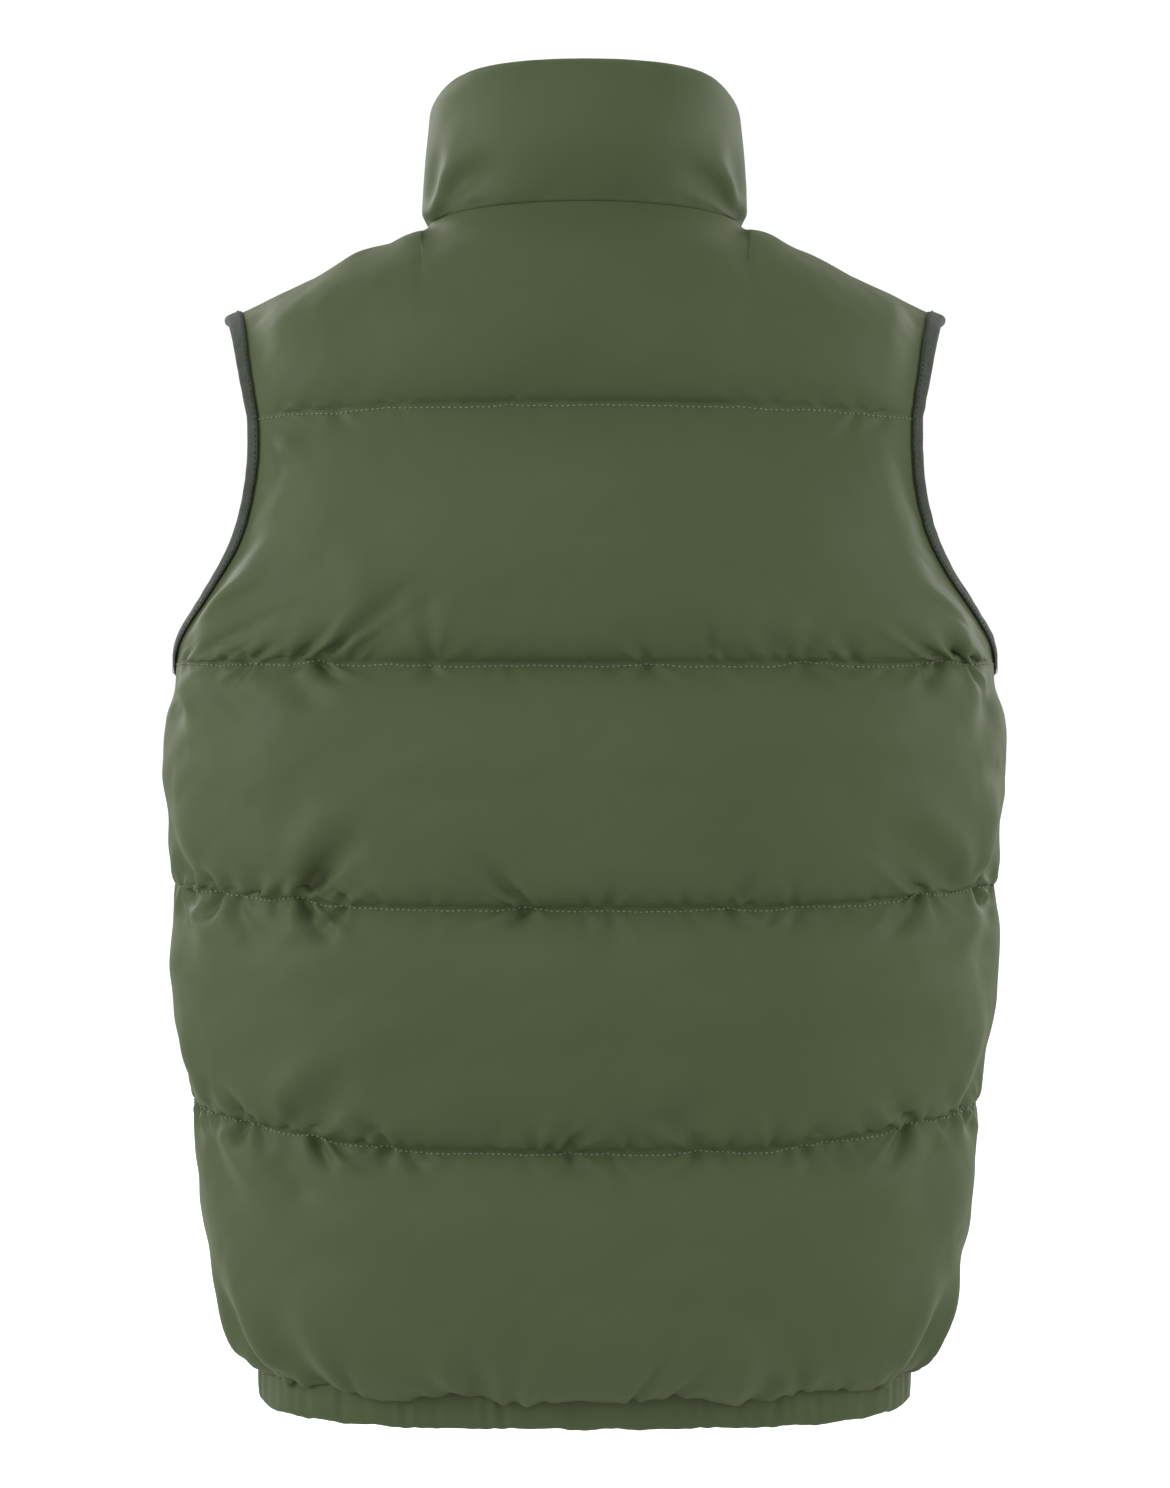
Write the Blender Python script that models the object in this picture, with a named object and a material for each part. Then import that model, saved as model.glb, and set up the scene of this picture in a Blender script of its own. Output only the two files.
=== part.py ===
"""Puffer vest with a stand collar, an elastic hem, bound armholes and a front zip.

Metres, +Z up. The front faces -Y and the wearer's left is +X. The origin is inside the neck, level
with the collar seam at the centre back, where the wearer's shoulders hold the vest.

Each padded panel is a closed solid between an outer and an inner skin. Both skins are moved off one
middle surface, which a short table of sections gives. A place on it has two numbers: quilt counts the
quilting seams from the hem joint (0) to the neck and shoulder (5), and across runs from the centre
line (0) to the side seam or armhole (1).
"""

import math
from collections import namedtuple

import bmesh
import bpy
import numpy as np
from mathutils import Euler, Vector

# Driving dimensions.
SEAM_WALL = 0.003  # a stitched edge: two shells and flattened filling
GAP = 0.0003  # between pieces that are sewn together
FLANGE = 0.0075  # flat, stitched-down width along a bound or zipped edge
CENTRE_EDGE = 0.008  # from the centre front to the edge of each front panel
BACK_PUFF = 0.018  # how far the filled channels stand off the middle surface, outside
SIDE_PUFF = 0.006
INNER_SHARE = 0.42  # the filling's share of that towards the wearer

# One row for each section of the body. The hem channel curls under before it meets the band.
Section = namedtuple("Section", "quilt height half_width back_depth front_depth squareness")
SECTIONS = (
    Section(0.0, -0.653, 0.1865, 0.105, 0.103, 3.1),  # hem joint
    Section(0.1, -0.648, 0.191, 0.110, 0.107, 3.0),
    Section(0.25, -0.630, 0.2005, 0.116, 0.113, 2.8),
    Section(0.5, -0.592, 0.2105, 0.119, 0.116, 2.6),
    Section(1.0, -0.515, 0.2235, 0.121, 0.118, 2.4),  # low quilting seam
    Section(2.0, -0.384, 0.2345, 0.126, 0.122, 2.35),  # waist seam
    Section(3.0, -0.254, 0.2345, 0.122, 0.119, 2.35),  # seam that meets the underarm
    Section(3.5, -0.183, 0.2345, 0.116, 0.117, 2.35),
    Section(4.0, -0.112, 0.2345, 0.106, 0.110, 2.35),  # yoke seam
)
ARMHOLE_FROM = 3.0
ARMHOLE_ROWS = (3.2, 3.45, 3.78, 4.47)  # extra rows of a panel's grid
YOKE_FROM = 4.0
TOP = 5.0

# The armhole, an oval in the side view whose distance from the centre plane changes with height.
UNDERARM_HEIGHT = -0.254
SHOULDER_TIP_HEIGHT = -0.059
ARMHOLE_HALF_DEPTH = 0.058
YOKE_SEAM_ANGLE = math.radians(113.9)  # round the oval from the underarm to the yoke seam
Edge = namedtuple("Edge", "height half_width")
ARMHOLE_EDGE = (
    Edge(-0.254, 0.2345),
    Edge(-0.248, 0.2333),
    Edge(-0.238, 0.2285),
    Edge(-0.220, 0.2165),
    Edge(-0.196, 0.2015),
    Edge(-0.169, 0.1915),
    Edge(-0.127, 0.1875),
    Edge(-0.095, 0.1910),
    Edge(-0.059, 0.2065),
)

# The neck seam, an oval ring that drops towards the front, and the shoulder seam.
NECK_HALF_WIDTH = 0.0895
NECK_BACK_DEPTH = 0.078
NECK_FRONT_DEPTH = 0.094
NECK_BACK_DROP = 0.006  # from the centre back to the shoulder seam
NECK_FRONT_DROP = 0.056  # from the shoulder seam to the centre front
NECK_SHARE = 0.45  # share of a panel's width that ends at the neck, the rest at the shoulder
Seam = namedtuple("Seam", "x y z")
SHOULDER_SEAM = (
    Seam(0.0895, -0.007, -0.006),
    Seam(0.1180, -0.006, -0.020),
    Seam(0.1480, -0.004, -0.034),
    Seam(0.1800, -0.002, -0.047),
    Seam(0.2065, 0.000, -0.059),
)
YOKE_TURN_CENTRE = {"back": math.radians(62), "front": math.radians(56)}
YOKE_TURN_SHOULDER = math.radians(90)

# How full a channel is between its lower seam (0) and its upper one (1): it sags on the lower seam.
Fill = namedtuple("Fill", "place share")
CHANNEL_FILL = (
    Fill(0.0, 0.0),
    Fill(0.1, 0.62),
    Fill(0.32, 0.96),
    Fill(0.62, 0.95),
    Fill(0.88, 0.52),
    Fill(1.0, 0.0),
)
EDGE_EASE = 0.030  # over which the filling builds up from a stitched edge
NECK_EASE = 0.045

# The largest folds, each a trough in the outer skin between two places on a panel.
Fold = namedtuple("Fold", "side hand quilt across to_quilt to_across depth width")
FOLDS = (
    Fold("back", "left", 3.04, 0.96, 3.46, 0.50, 0.0050, 0.012),
    Fold("back", "left", 3.10, 0.70, 3.34, 0.44, 0.0035, 0.010),
    Fold("back", "right", 3.04, 0.96, 3.44, 0.56, 0.0045, 0.012),
    Fold("back", "left", 4.97, 0.42, 4.55, 0.26, 0.0035, 0.011),
    Fold("back", "right", 4.97, 0.42, 4.62, 0.30, 0.0030, 0.011),
    Fold("front", "left", 3.05, 0.96, 3.40, 0.55, 0.0045, 0.012),
    Fold("front", "right", 3.05, 0.96, 3.45, 0.60, 0.0045, 0.012),
)

# The collar: its top ring and its section, from the neck seam up.
COLLAR_TOP_HALF_WIDTH = 0.0775
COLLAR_TOP_BACK_DEPTH = 0.071
COLLAR_TOP_FRONT_DEPTH = 0.083
COLLAR_TOP_HEIGHT = {"back": 0.0805, "side": 0.0715, "front": 0.030}
Wall = namedtuple("Wall", "rise outer inner")
COLLAR_WALL = (
    Wall(0.08, 0.0018, 0.0018),
    Wall(0.20, 0.0055, 0.0050),
    Wall(0.42, 0.0110, 0.0080),
    Wall(0.70, 0.0110, 0.0080),
    Wall(0.88, 0.0085, 0.0065),
    Wall(0.965, 0.0050, 0.0040),
    Wall(1.0, 0.0015, 0.0012),
)

# The elastic hem band, from the joint down.
Step = namedtuple("Step", "drop half_wall")
BAND_STEPS = (Step(0.0120, 0.0025), Step(0.0220, 0.0022), Step(0.0245, 0.0008))

# The armhole binding, a folded strip round the panels' edges.
BINDING_WALL = 0.0012
BINDING_LIP = 0.0065  # less than the flange
LIP_GAP = 0.0012  # the lips stand a little off the panels

# The zip: two tapes with their rows of teeth, a slider with its pull, stops and a retainer box.
TAPE_WALL = 0.0008
TAPE_REACH = 0.0135  # from the centre to a tape's sewn edge
TAPE_END = 0.0015  # below the collar's top
TEETH_HALF_WALL = 0.0013
FLAT_TEETH = 0.0004  # the thickness left of the teeth's rows where they have ended
TEETH_WIDTH = 0.003
TEETH_SLOPE = 0.0003  # from the teeth's roots down to the tape
TEETH_CENTRE = SEAM_WALL / 2 + GAP + TAPE_WALL / 2  # behind the front panels' middle surface
SLIDER_LENGTH = 0.0125
SLIDER_WIDTH = 0.0098
SLIDER_PLATE = 0.0014
SLIDER_DROP = 0.020  # from the collar's top down to the slider's middle
WEDGE_WIDTH = 0.0028
BAIL_WIDTH = 0.0022
BAIL_WALL = 0.0011
BAIL_WINDOW = 0.0028  # clear height under the bail, round the pull's bar
BAIL_LENGTH = 0.0085
INSET = 0.0002  # by which a block stands in from the face of the one it joins
PULL_WIDTH = 0.0068
PULL_WALL = 0.0014
PULL_LENGTH = 0.030
PULL_BAR = 0.0016
PULL_EYE_LENGTH = 0.0056
PULL_EYE_WIDTH = 0.0036
PULL_ROUNDING = 0.0012
LIP_SLOPE = 0.0003  # of the free edges of the stops and the retainer box, inwards
STOP_WALL = 0.0008
STOP_WRAP = 0.0020
STOP_HEIGHT = 0.0040
STOP_RISE = 0.0095  # from the slider's middle
BOX_WIDTH = 0.0076
BOX_HEIGHT = 0.0085
BOX_WALL = 0.0012

FINE = 240  # points in a section before it is divided evenly

CLOTH = (0.078, 0.102, 0.055, 1.0)
BINDING_CLOTH = (0.045, 0.058, 0.040, 1.0)
TAPE_CLOTH = (0.052, 0.066, 0.040, 1.0)
METAL = (0.10, 0.105, 0.095, 1.0)


def smooth_column(table, key, column, at):
    """A column of a table as a smooth function of its key column, without overshoot at the ends."""
    keys = np.array([getattr(row, key) for row in table])
    values = np.array([getattr(row, column) for row in table])
    slopes = np.gradient(values, keys)
    at = np.clip(at, keys[0], keys[-1])
    i = np.clip(np.searchsorted(keys, at, side="right") - 1, 0, len(keys) - 2)
    width = keys[i + 1] - keys[i]
    t = (at - keys[i]) / width
    return (
        (1 + 2 * t) * (1 - t) ** 2 * values[i]
        + t * (1 - t) ** 2 * width * slopes[i]
        + t * t * (3 - 2 * t) * values[i + 1]
        + t * t * (t - 1) * width * slopes[i + 1]
    )


def smooth_step(t):
    t = np.clip(t, 0, 1)
    return t * t * (3 - 2 * t)


def unit(vectors):
    return vectors / np.linalg.norm(vectors, axis=-1, keepdims=True)


def lengths_along(line):
    steps = np.linalg.norm(np.diff(line, axis=0), axis=1)
    return np.concatenate([[0], np.cumsum(steps)])


def at_shares(line, shares):
    """Points at the given shares of a fine line's length."""
    along = lengths_along(line)
    return np.stack([np.interp(shares * along[-1], along, line[:, k]) for k in range(3)], axis=1)


def armhole_point(angle, side):
    """A point of the armhole, by its angle round the oval from the underarm to the shoulder tip."""
    middle = (UNDERARM_HEIGHT + SHOULDER_TIP_HEIGHT) / 2
    reach = (SHOULDER_TIP_HEIGHT - UNDERARM_HEIGHT) / 2
    height = middle - reach * math.cos(angle)
    out = float(smooth_column(ARMHOLE_EDGE, "height", "half_width", height))
    depth = ARMHOLE_HALF_DEPTH * math.sin(angle) * (1 if side == "back" else -1)
    return np.array([out, depth, height])


def section_line(side, quilt):
    """The fine line of one section below the yoke, from the centre line to the side or armhole."""
    height, wide, depth, square = (
        float(smooth_column(SECTIONS, "quilt", name, quilt))
        for name in ("height", "half_width", side + "_depth", "squareness")
    )
    edge = np.array([wide, 0.0, height])
    if quilt > ARMHOLE_FROM:
        edge = armhole_point(YOKE_SEAM_ANGLE * (quilt - ARMHOLE_FROM), side)
    share = 1 - (abs(edge[1]) / depth) ** square
    oval_width = edge[0] / share ** (1 / square)
    start = 0.0 if side == "back" else math.asin((CENTRE_EDGE / oval_width) ** (square / 2))
    angles = np.linspace(start, math.asin(min(1.0, (edge[0] / oval_width) ** (square / 2))), FINE)
    line = np.zeros((FINE, 3))
    line[:, 0] = oval_width * np.sin(angles) ** (2 / square)
    line[:, 1] = depth * np.maximum(np.cos(angles), 0) ** (2 / square)
    line[:, 1] *= 1 if side == "back" else -1
    along = lengths_along(line)
    line[:, 2] = height + (edge[2] - height) * (along / along[-1]) ** 2
    return line


def neck_ring(angle):
    """The neck seam, by its angle from the centre back (0) to the centre front (pi)."""
    side_depth = SHOULDER_SEAM[0].y
    back = np.cos(angle) >= 0
    reach = np.where(back, NECK_BACK_DEPTH - side_depth, NECK_FRONT_DEPTH + side_depth)
    behind = NECK_BACK_DROP * (1 - np.cos(angle))
    before = NECK_BACK_DROP + NECK_FRONT_DROP * np.abs(np.cos(angle)) ** 1.5
    drop = np.where(back, behind, before)
    return np.stack([NECK_HALF_WIDTH * np.sin(angle), side_depth + reach * np.cos(angle), -drop], axis=-1)


def neck_angles(side):
    """The fine angles of a panel's neck edge, from its centre line to the shoulder seam."""
    start = 0.0 if side == "back" else math.pi - math.asin(CENTRE_EDGE / NECK_HALF_WIDTH)
    return np.linspace(start, math.pi / 2, FINE)


def shoulder_line():
    x = np.linspace(SHOULDER_SEAM[0].x, SHOULDER_SEAM[-1].x, FINE)
    return np.stack([x, *(smooth_column(SHOULDER_SEAM, "x", name, x) for name in ("y", "z"))], axis=1)


def top_edge(side, across):
    """The upper edge of a panel: the neck seam, then the shoulder seam."""
    neck = at_shares(neck_ring(neck_angles(side)), np.clip(across / NECK_SHARE, 0, 1))
    shoulder = at_shares(shoulder_line(), np.clip((across - NECK_SHARE) / (1 - NECK_SHARE), 0, 1))
    return np.where((across < NECK_SHARE)[:, None], neck, shoulder)


def yoke_line(side, across, rise):
    """Points of the yoke at a share of the way from the yoke seam to its upper edge, on turning arcs."""
    low = at_shares(section_line(side, YOKE_FROM), across)
    top = top_edge(side, across)
    more = YOKE_TURN_SHOULDER - YOKE_TURN_CENTRE[side]
    turn = YOKE_TURN_CENTRE[side] + more * np.minimum(across / NECK_SHARE, 1) ** 4
    shares = (
        np.full_like(across, rise),
        (1 - np.cos(rise * turn)) / (1 - np.cos(turn)),
        np.sin(rise * turn) / np.sin(turn),
    )
    return low + (top - low) * np.stack(shares, axis=1)


def middle_surface(side, across, quilts):
    """Points of the middle surface of a half panel, one row of across values for each quilt value."""
    rows = []
    for quilt, places in zip(quilts, across):
        if quilt <= YOKE_FROM:
            rows.append(at_shares(section_line(side, quilt), places))
        else:
            rows.append(yoke_line(side, places, (quilt - YOKE_FROM) / (TOP - YOKE_FROM)))
    return np.array(rows)


def surface_normals(side, across, quilts):
    """Outward unit normals of the middle surface at the same places."""
    small = 1e-4
    # The upper edge turns a corner between neck and shoulder, where the normal looks to the shoulder side.
    left = np.where(across == NECK_SHARE, across, np.maximum(across - small, 0))
    right = np.minimum(across + small, 1)
    low, high = np.maximum(quilts - small, 0), np.minimum(quilts + small, TOP)
    along_row = middle_surface(side, right, quilts) - middle_surface(side, left, quilts)
    up_column = middle_surface(side, across, high) - middle_surface(side, across, low)
    normals = unit(np.cross(up_column, along_row))
    return normals if side == "back" else -normals


def nearest(points, line):
    """The distance from each point to the nearest of a line's points."""
    flat = points.reshape(-1, 3)
    return np.linalg.norm(flat[:, None] - line[None], axis=2).min(1).reshape(points.shape[:-1])


def armhole_line(side):
    """The armhole edge of one panel, from the underarm to the shoulder tip."""
    return np.array([armhole_point(a, side) for a in np.linspace(0, math.pi, FINE)])


def side_seam_line():
    """The side seam, from the hem joint to the underarm."""
    quilts = np.linspace(0, ARMHOLE_FROM, FINE)
    out, height = (smooth_column(SECTIONS, "quilt", name, quilts) for name in ("half_width", "height"))
    return np.stack([out, np.zeros(FINE), height], axis=1)


def place_on(side, across, quilt):
    return middle_surface(side, np.array([[across]]), np.array([quilt]))[0, 0]


def fold_depth(fold, points):
    """The trough of one fold: deepest in the middle of its length, shallow towards both ends."""
    start = place_on(fold.side, fold.across, fold.quilt)
    along = place_on(fold.side, fold.to_across, fold.to_quilt) - start
    place = np.clip(((points - start) @ along) / (along @ along), 0, 1)
    away = np.linalg.norm(points - start - place[..., None] * along, axis=-1)
    return fold.depth * np.sin(math.pi * (0.15 + 0.7 * place)) * np.exp(-((away / fold.width) ** 2))


def filling(side, hand, points, across, quilts):
    """How far the outer skin stands off the middle surface because of the filling."""
    channel = np.where(quilts >= TOP, 1.0, quilts % 1.0)
    crown = smooth_column(CHANNEL_FILL, "place", "share", channel)
    height = SIDE_PUFF + (BACK_PUFF - SIDE_PUFF) * np.cos(across * math.pi / 2)
    puff = crown[:, None] * height
    for fold in FOLDS:
        if (fold.side, fold.hand) == (side, hand):
            puff = np.maximum(puff - fold_depth(fold, points) * (crown[:, None] > 0), 0.2 * puff)
    puff *= smooth_step((nearest(points, side_seam_line()) - FLANGE / 2) / EDGE_EASE)
    puff *= smooth_step((nearest(points, armhole_line(side)) - FLANGE) / EDGE_EASE)
    puff *= smooth_step(nearest(points, neck_ring(neck_angles(side))) / NECK_EASE) * 0.85 + 0.15
    if side == "front":
        puff *= smooth_step((np.abs(points[..., 0]) - CENTRE_EDGE - FLANGE) / EDGE_EASE)
    return puff


def mesh_object(name, bm, material):
    bmesh.ops.recalc_face_normals(bm, faces=bm.faces)
    if bm.calc_volume(signed=True) < 0:
        bmesh.ops.reverse_faces(bm, faces=bm.faces)
    bmesh.ops.triangulate(bm, faces=bm.faces, quad_method="SHORT_EDGE")
    mesh = bpy.data.meshes.new(name)
    bm.to_mesh(mesh)
    bm.free()
    mesh.materials.append(material)
    mesh.shade_smooth()
    obj = bpy.data.objects.new(name, mesh)
    VEST.objects.link(obj)
    return obj


def loft(name, sections, material, ring=False):
    """A closed solid through closed sections of equal point count, capped at its ends unless it is a ring."""
    bm = bmesh.new()
    rows = [[bm.verts.new(point) for point in section] for section in sections]
    pairs = list(zip(rows, rows[1:])) + ([(rows[-1], rows[0])] if ring else [])
    for first, second in pairs:
        for k in range(len(first)):
            after = (k + 1) % len(first)
            bm.faces.new((first[k], first[after], second[after], second[k]))
    if not ring:
        bm.faces.new(rows[0])
        bm.faces.new(rows[-1])
    return mesh_object(name, bm, material)


def padded_panel(name, outer, inner, material):
    """A closed solid between two skins of equal grids, with a rim round the four edges."""
    bm = bmesh.new()
    skins = [[[bm.verts.new(point) for point in row] for row in skin] for skin in (outer, inner)]
    for skin in skins:
        for lower, upper in zip(skin, skin[1:]):
            for k in range(len(lower) - 1):
                bm.faces.new((lower[k], lower[k + 1], upper[k + 1], upper[k]))
    borders = []
    for skin in skins:
        up, down = [row[-1] for row in skin[1:-1]], [row[0] for row in skin[-2:0:-1]]
        borders.append(skin[0] + up + skin[-1][::-1] + down)
    for k in range(len(borders[0])):
        after = (k + 1) % len(borders[0])
        bm.faces.new((borders[0][k], borders[0][after], borders[1][after], borders[1][k]))
    return mesh_object(name, bm, material)


def column_shares(side, quilts):
    """Where a half panel's columns stand in each row, closer together where the filling eases off. The
    last but one stands a flange's width from the side seam or armhole."""
    near_neck = {
        "back": (0.0, 0.11, 0.22, 0.34, NECK_SHARE),
        "front": (0.0, 0.024, 0.075, 0.14, 0.24, 0.345, NECK_SHARE),
    }
    rows = []
    for quilt in quilts:
        width = lengths_along(section_line(side, min(quilt, YOKE_FROM)))[-1]
        rows.append([*near_neck[side], 0.56, 0.67, 0.78, 0.87, 0.93, 1 - FLANGE / width, 1.0])
    return np.array(rows)


def row_quilts():
    """The rows of a panel's grid: the fill table's places in each channel, and more by the armhole."""
    places = [row.place for row in CHANNEL_FILL[:-1]]
    quilts = [channel + place for channel in range(int(TOP)) for place in places]
    return np.array(sorted([*quilts, *ARMHOLE_ROWS, TOP]))


def half_panel(side, hand):
    """Outer and inner skins of half a panel, drawn back by half a gap from the seams it shares."""
    quilts = row_quilts()
    across = column_shares(side, quilts)
    points = middle_surface(side, across, quilts)
    normals = surface_normals(side, across, quilts)
    puff = filling(side, hand, points, across, quilts)
    at_side = quilts <= ARMHOLE_FROM
    points[at_side, -1, 1] += GAP / 2 if side == "back" else -GAP / 2
    on_shoulder = across[-1] >= NECK_SHARE
    points[-1, on_shoulder, 1] += GAP / 2 if side == "back" else -GAP / 2
    outer = points + normals * (SEAM_WALL / 2 + puff)[..., None]
    inner = points - normals * (SEAM_WALL / 2 + puff * INNER_SHARE)[..., None]
    return outer, inner


def mirrored(points):
    return points * np.array([-1, 1, 1])


def build_back():
    halves = zip(half_panel("back", "right"), half_panel("back", "left"))
    whole = [np.concatenate([mirrored(right[:, :0:-1]), left], axis=1) for right, left in halves]
    padded_panel("back", *whole, material("shell_cloth", CLOTH, 0.55))


def build_fronts():
    cloth = material("shell_cloth", CLOTH, 0.55)
    padded_panel("front_left", *half_panel("front", "left"), cloth)
    padded_panel("front_right", *(mirrored(skin) for skin in half_panel("front", "right")), cloth)


def edge_frames(quilt):
    """Points, normals and directions off the panel all round the hem joint (quilt 0) or the neck seam
    (quilt TOP), from the left zip edge round the back to the right one."""
    halves = {}
    for side in ("back", "front"):
        row = np.array([quilt])
        across = column_shares(side, row)
        across = across[across <= NECK_SHARE][None] if quilt == TOP else across
        points = middle_surface(side, across, row)[0]
        normals = surface_normals(side, across, row)[0]
        halves[side] = (points, normals)
    joined = []
    for k in (0, 1):
        front, back = halves["front"][k], halves["back"][k]
        left = np.concatenate([front[:-1], back[::-1]])
        joined.append(np.concatenate([left, mirrored(left[-2::-1])]))
    points, normals = joined
    corner = len(halves["front"][0]) - 1
    for k in (corner, len(points) - 1 - corner):
        normals[k] = unit(normals[k] * np.array([1, 0, 1]))
    down = unit(np.cross(np.gradient(points, axis=0), normals))
    return points, normals, -down if quilt == TOP else down


def zip_ease(points):
    """0 on the stitched-down edge beside the zip, 1 where the filling or elastic is full."""
    beside = np.abs(points[:, 0]) - CENTRE_EDGE - FLANGE
    return np.where(points[:, 1] < 0, smooth_step(beside / EDGE_EASE), 1.0)


def collar_top(points):
    """The collar's top ring above the points of the neck seam."""
    angle = np.arctan2(
        points[:, 0] / NECK_HALF_WIDTH,
        np.where(
            points[:, 1] > SHOULDER_SEAM[0].y,
            (points[:, 1] - SHOULDER_SEAM[0].y) / (NECK_BACK_DEPTH - SHOULDER_SEAM[0].y),
            (points[:, 1] - SHOULDER_SEAM[0].y) / (NECK_FRONT_DEPTH + SHOULDER_SEAM[0].y),
        ),
    )
    back, side, front = (COLLAR_TOP_HEIGHT[name] for name in ("back", "side", "front"))
    forward = np.cos(angle)
    height = np.where(
        forward > 0,
        side + (back - side) * np.abs(forward) * (2 - np.abs(forward)),
        side + (front - side) * np.abs(forward) ** 1.6,
    )
    centre = (COLLAR_TOP_BACK_DEPTH - COLLAR_TOP_FRONT_DEPTH) / 2
    depth = (COLLAR_TOP_BACK_DEPTH + COLLAR_TOP_FRONT_DEPTH) / 2
    edge = np.abs(points[:, 0]) <= CENTRE_EDGE * 1.01
    x = np.where(edge & (forward < 0), points[:, 0], COLLAR_TOP_HALF_WIDTH * np.sin(angle))
    return np.stack([x, centre + depth * forward, height], axis=1)


def collar_surface():
    """Rings of the collar's middle surface from the neck seam to its top, and their outward normals."""
    base, base_normals, up = edge_frames(TOP)
    base = base + up * GAP
    top = collar_top(base)
    outward = unit(np.cross(np.gradient(base, axis=0), top - base))
    rings, normals = [base], [base_normals]
    for wall in COLLAR_WALL:
        rings.append(base + (top - base) * wall.rise)
        normals.append(outward)
    return rings, normals, base


def build_collar():
    rings, normals, base = collar_surface()
    ease = zip_ease(base)[:, None]
    edge = SEAM_WALL / 2
    outer, inner = [], []
    for ring, normal, wall in zip(rings, normals, (Wall(0, edge, edge), *COLLAR_WALL)):
        least = min(edge, wall.outer), min(edge, wall.inner)
        outer.append(ring + normal * (least[0] + (wall.outer - least[0]) * ease))
        inner.append(ring - normal * (least[1] + (wall.inner - least[1]) * ease))
    sections = np.stack(outer + inner[::-1], axis=1)
    loft("collar", sections, material("shell_cloth", CLOTH, 0.55))


def build_hem_band():
    joint, joint_normals, down = edge_frames(0.0)
    top = joint + down * GAP
    level = unit(joint_normals * np.array([1, 1, 0]))
    ease = zip_ease(joint)[:, None]
    edge = SEAM_WALL / 2
    rows = [(top, joint_normals, np.full((len(joint), 1), edge))]
    for step in BAND_STEPS:
        least = min(edge, step.half_wall)
        ring = joint - np.array([0, 0, step.drop])
        rows.append((ring, level, least + (step.half_wall - least) * ease))
    outer = [ring + normal * wall for ring, normal, wall in rows]
    inner = [ring - normal * wall for ring, normal, wall in rows[::-1]]
    sections = np.stack(outer + inner, axis=1)
    loft("hem_band", sections, material("shell_cloth", CLOTH, 0.55))


def normal_on(side, across, quilt):
    return surface_normals(side, np.array([[across]]), np.array([quilt]))[0, 0]


def slide_over(side, across, quilt, target, rounds=4, small=0.002):
    """The place on a panel's middle surface nearest to a target point, starting from a place near it."""
    for _ in range(rounds):
        here = place_on(side, across, quilt)
        side_step = -small if across > 0.5 else small
        up_step = -small if quilt > TOP / 2 else small
        slopes = np.stack(
            [
                (place_on(side, across + side_step, quilt) - here) / side_step,
                (place_on(side, across, quilt + up_step) - here) / up_step,
            ],
            axis=1,
        )
        move = np.linalg.lstsq(slopes, target - here, rcond=None)[0]
        across = min(across + move[0], 1.0)
        quilt = min(quilt + move[1], TOP)
    return across, quilt


def armhole_ring():
    """Places round the left armhole, from the underarm up the back, over the shoulder tip and down the
    front: at each, the panels' own edge point, the point a lip's width in from it, the normals at both
    and the direction into the opening."""
    quilts = row_quilts()
    quilts = quilts[quilts >= ARMHOLE_FROM]
    stops = [("back", q) for q in quilts] + [("front", q) for q in quilts[-2:0:-1]]
    edge = np.array([place_on(side, 1.0, q) for side, q in stops])
    edge_normal = np.array([normal_on(side, 1.0, q) for side, q in stops])
    for k in (0, len(quilts) - 1):
        edge_normal[k] = unit(edge_normal[k] + normal_on("front", 1.0, stops[k][1]))
    along = np.roll(edge, -1, axis=0) - np.roll(edge, 1, axis=0)
    into = unit(np.cross(edge_normal, along))
    lip, lip_normal = [], []
    for k, (side, quilt) in enumerate(stops):
        place = slide_over(side, 1.0, quilt, edge[k] - into[k] * BINDING_LIP)
        lip.append(place_on(side, *place))
        lip_normal.append(normal_on(side, *place))
    for k in (0, len(quilts) - 1):
        lip_normal[k] = edge_normal[k]
    return edge, edge_normal, np.array(lip), np.array(lip_normal), into


def build_bindings():
    edge, edge_normal, lip, lip_normal, into = armhole_ring()
    inside = SEAM_WALL / 2 + GAP
    outside = inside + BINDING_WALL
    lip_inside = SEAM_WALL / 2 + LIP_GAP
    lip_outside = lip_inside + BINDING_WALL
    fold = GAP + BINDING_WALL
    corners = (
        (lip, lip_normal, 0, lip_outside),
        (edge, edge_normal, fold * 0.4, outside),
        (edge, edge_normal, fold, inside * 0.7),
        (edge, edge_normal, fold, -inside * 0.7),
        (edge, edge_normal, fold * 0.4, -outside),
        (lip, lip_normal, 0, -lip_outside),
        (lip, lip_normal, 0, -lip_inside),
        (edge, edge_normal, GAP, -inside),
        (edge, edge_normal, GAP, inside),
        (lip, lip_normal, 0, lip_inside),
    )
    sections = np.stack([place + normal * out + into * turn for place, normal, turn, out in corners], axis=1)
    cloth = material("binding_cloth", BINDING_CLOTH, 0.8)
    loft("binding_left", sections, cloth, ring=True)
    loft("binding_right", mirrored(sections), cloth, ring=True)


def zip_line():
    """The centre-front line from the band's hem to the collar's top, its outward directions, and the
    slopes of the pieces beside it, from their edges to the far side of their flanges."""
    quilts = row_quilts()
    columns = column_shares("front", quilts)[:, :2]
    panel = middle_surface("front", columns, quilts)
    rings, _, _ = collar_surface()
    collar = np.array([ring[:2] for ring in rings[1:]])
    band = np.array([panel[0] - np.array([0, 0, step.drop]) for step in BAND_STEPS[::-1]])
    pairs = np.concatenate([band, panel, collar])
    across = pairs[:, 1] - pairs[:, 0]
    line = pairs[:, 0] * np.array([0, 1, 1])
    upward = unit(np.gradient(line, axis=0))
    outward = np.stack([upward[:, 0], -upward[:, 2], upward[:, 1]], axis=1)
    return line, outward, across / across[:, :1]


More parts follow.
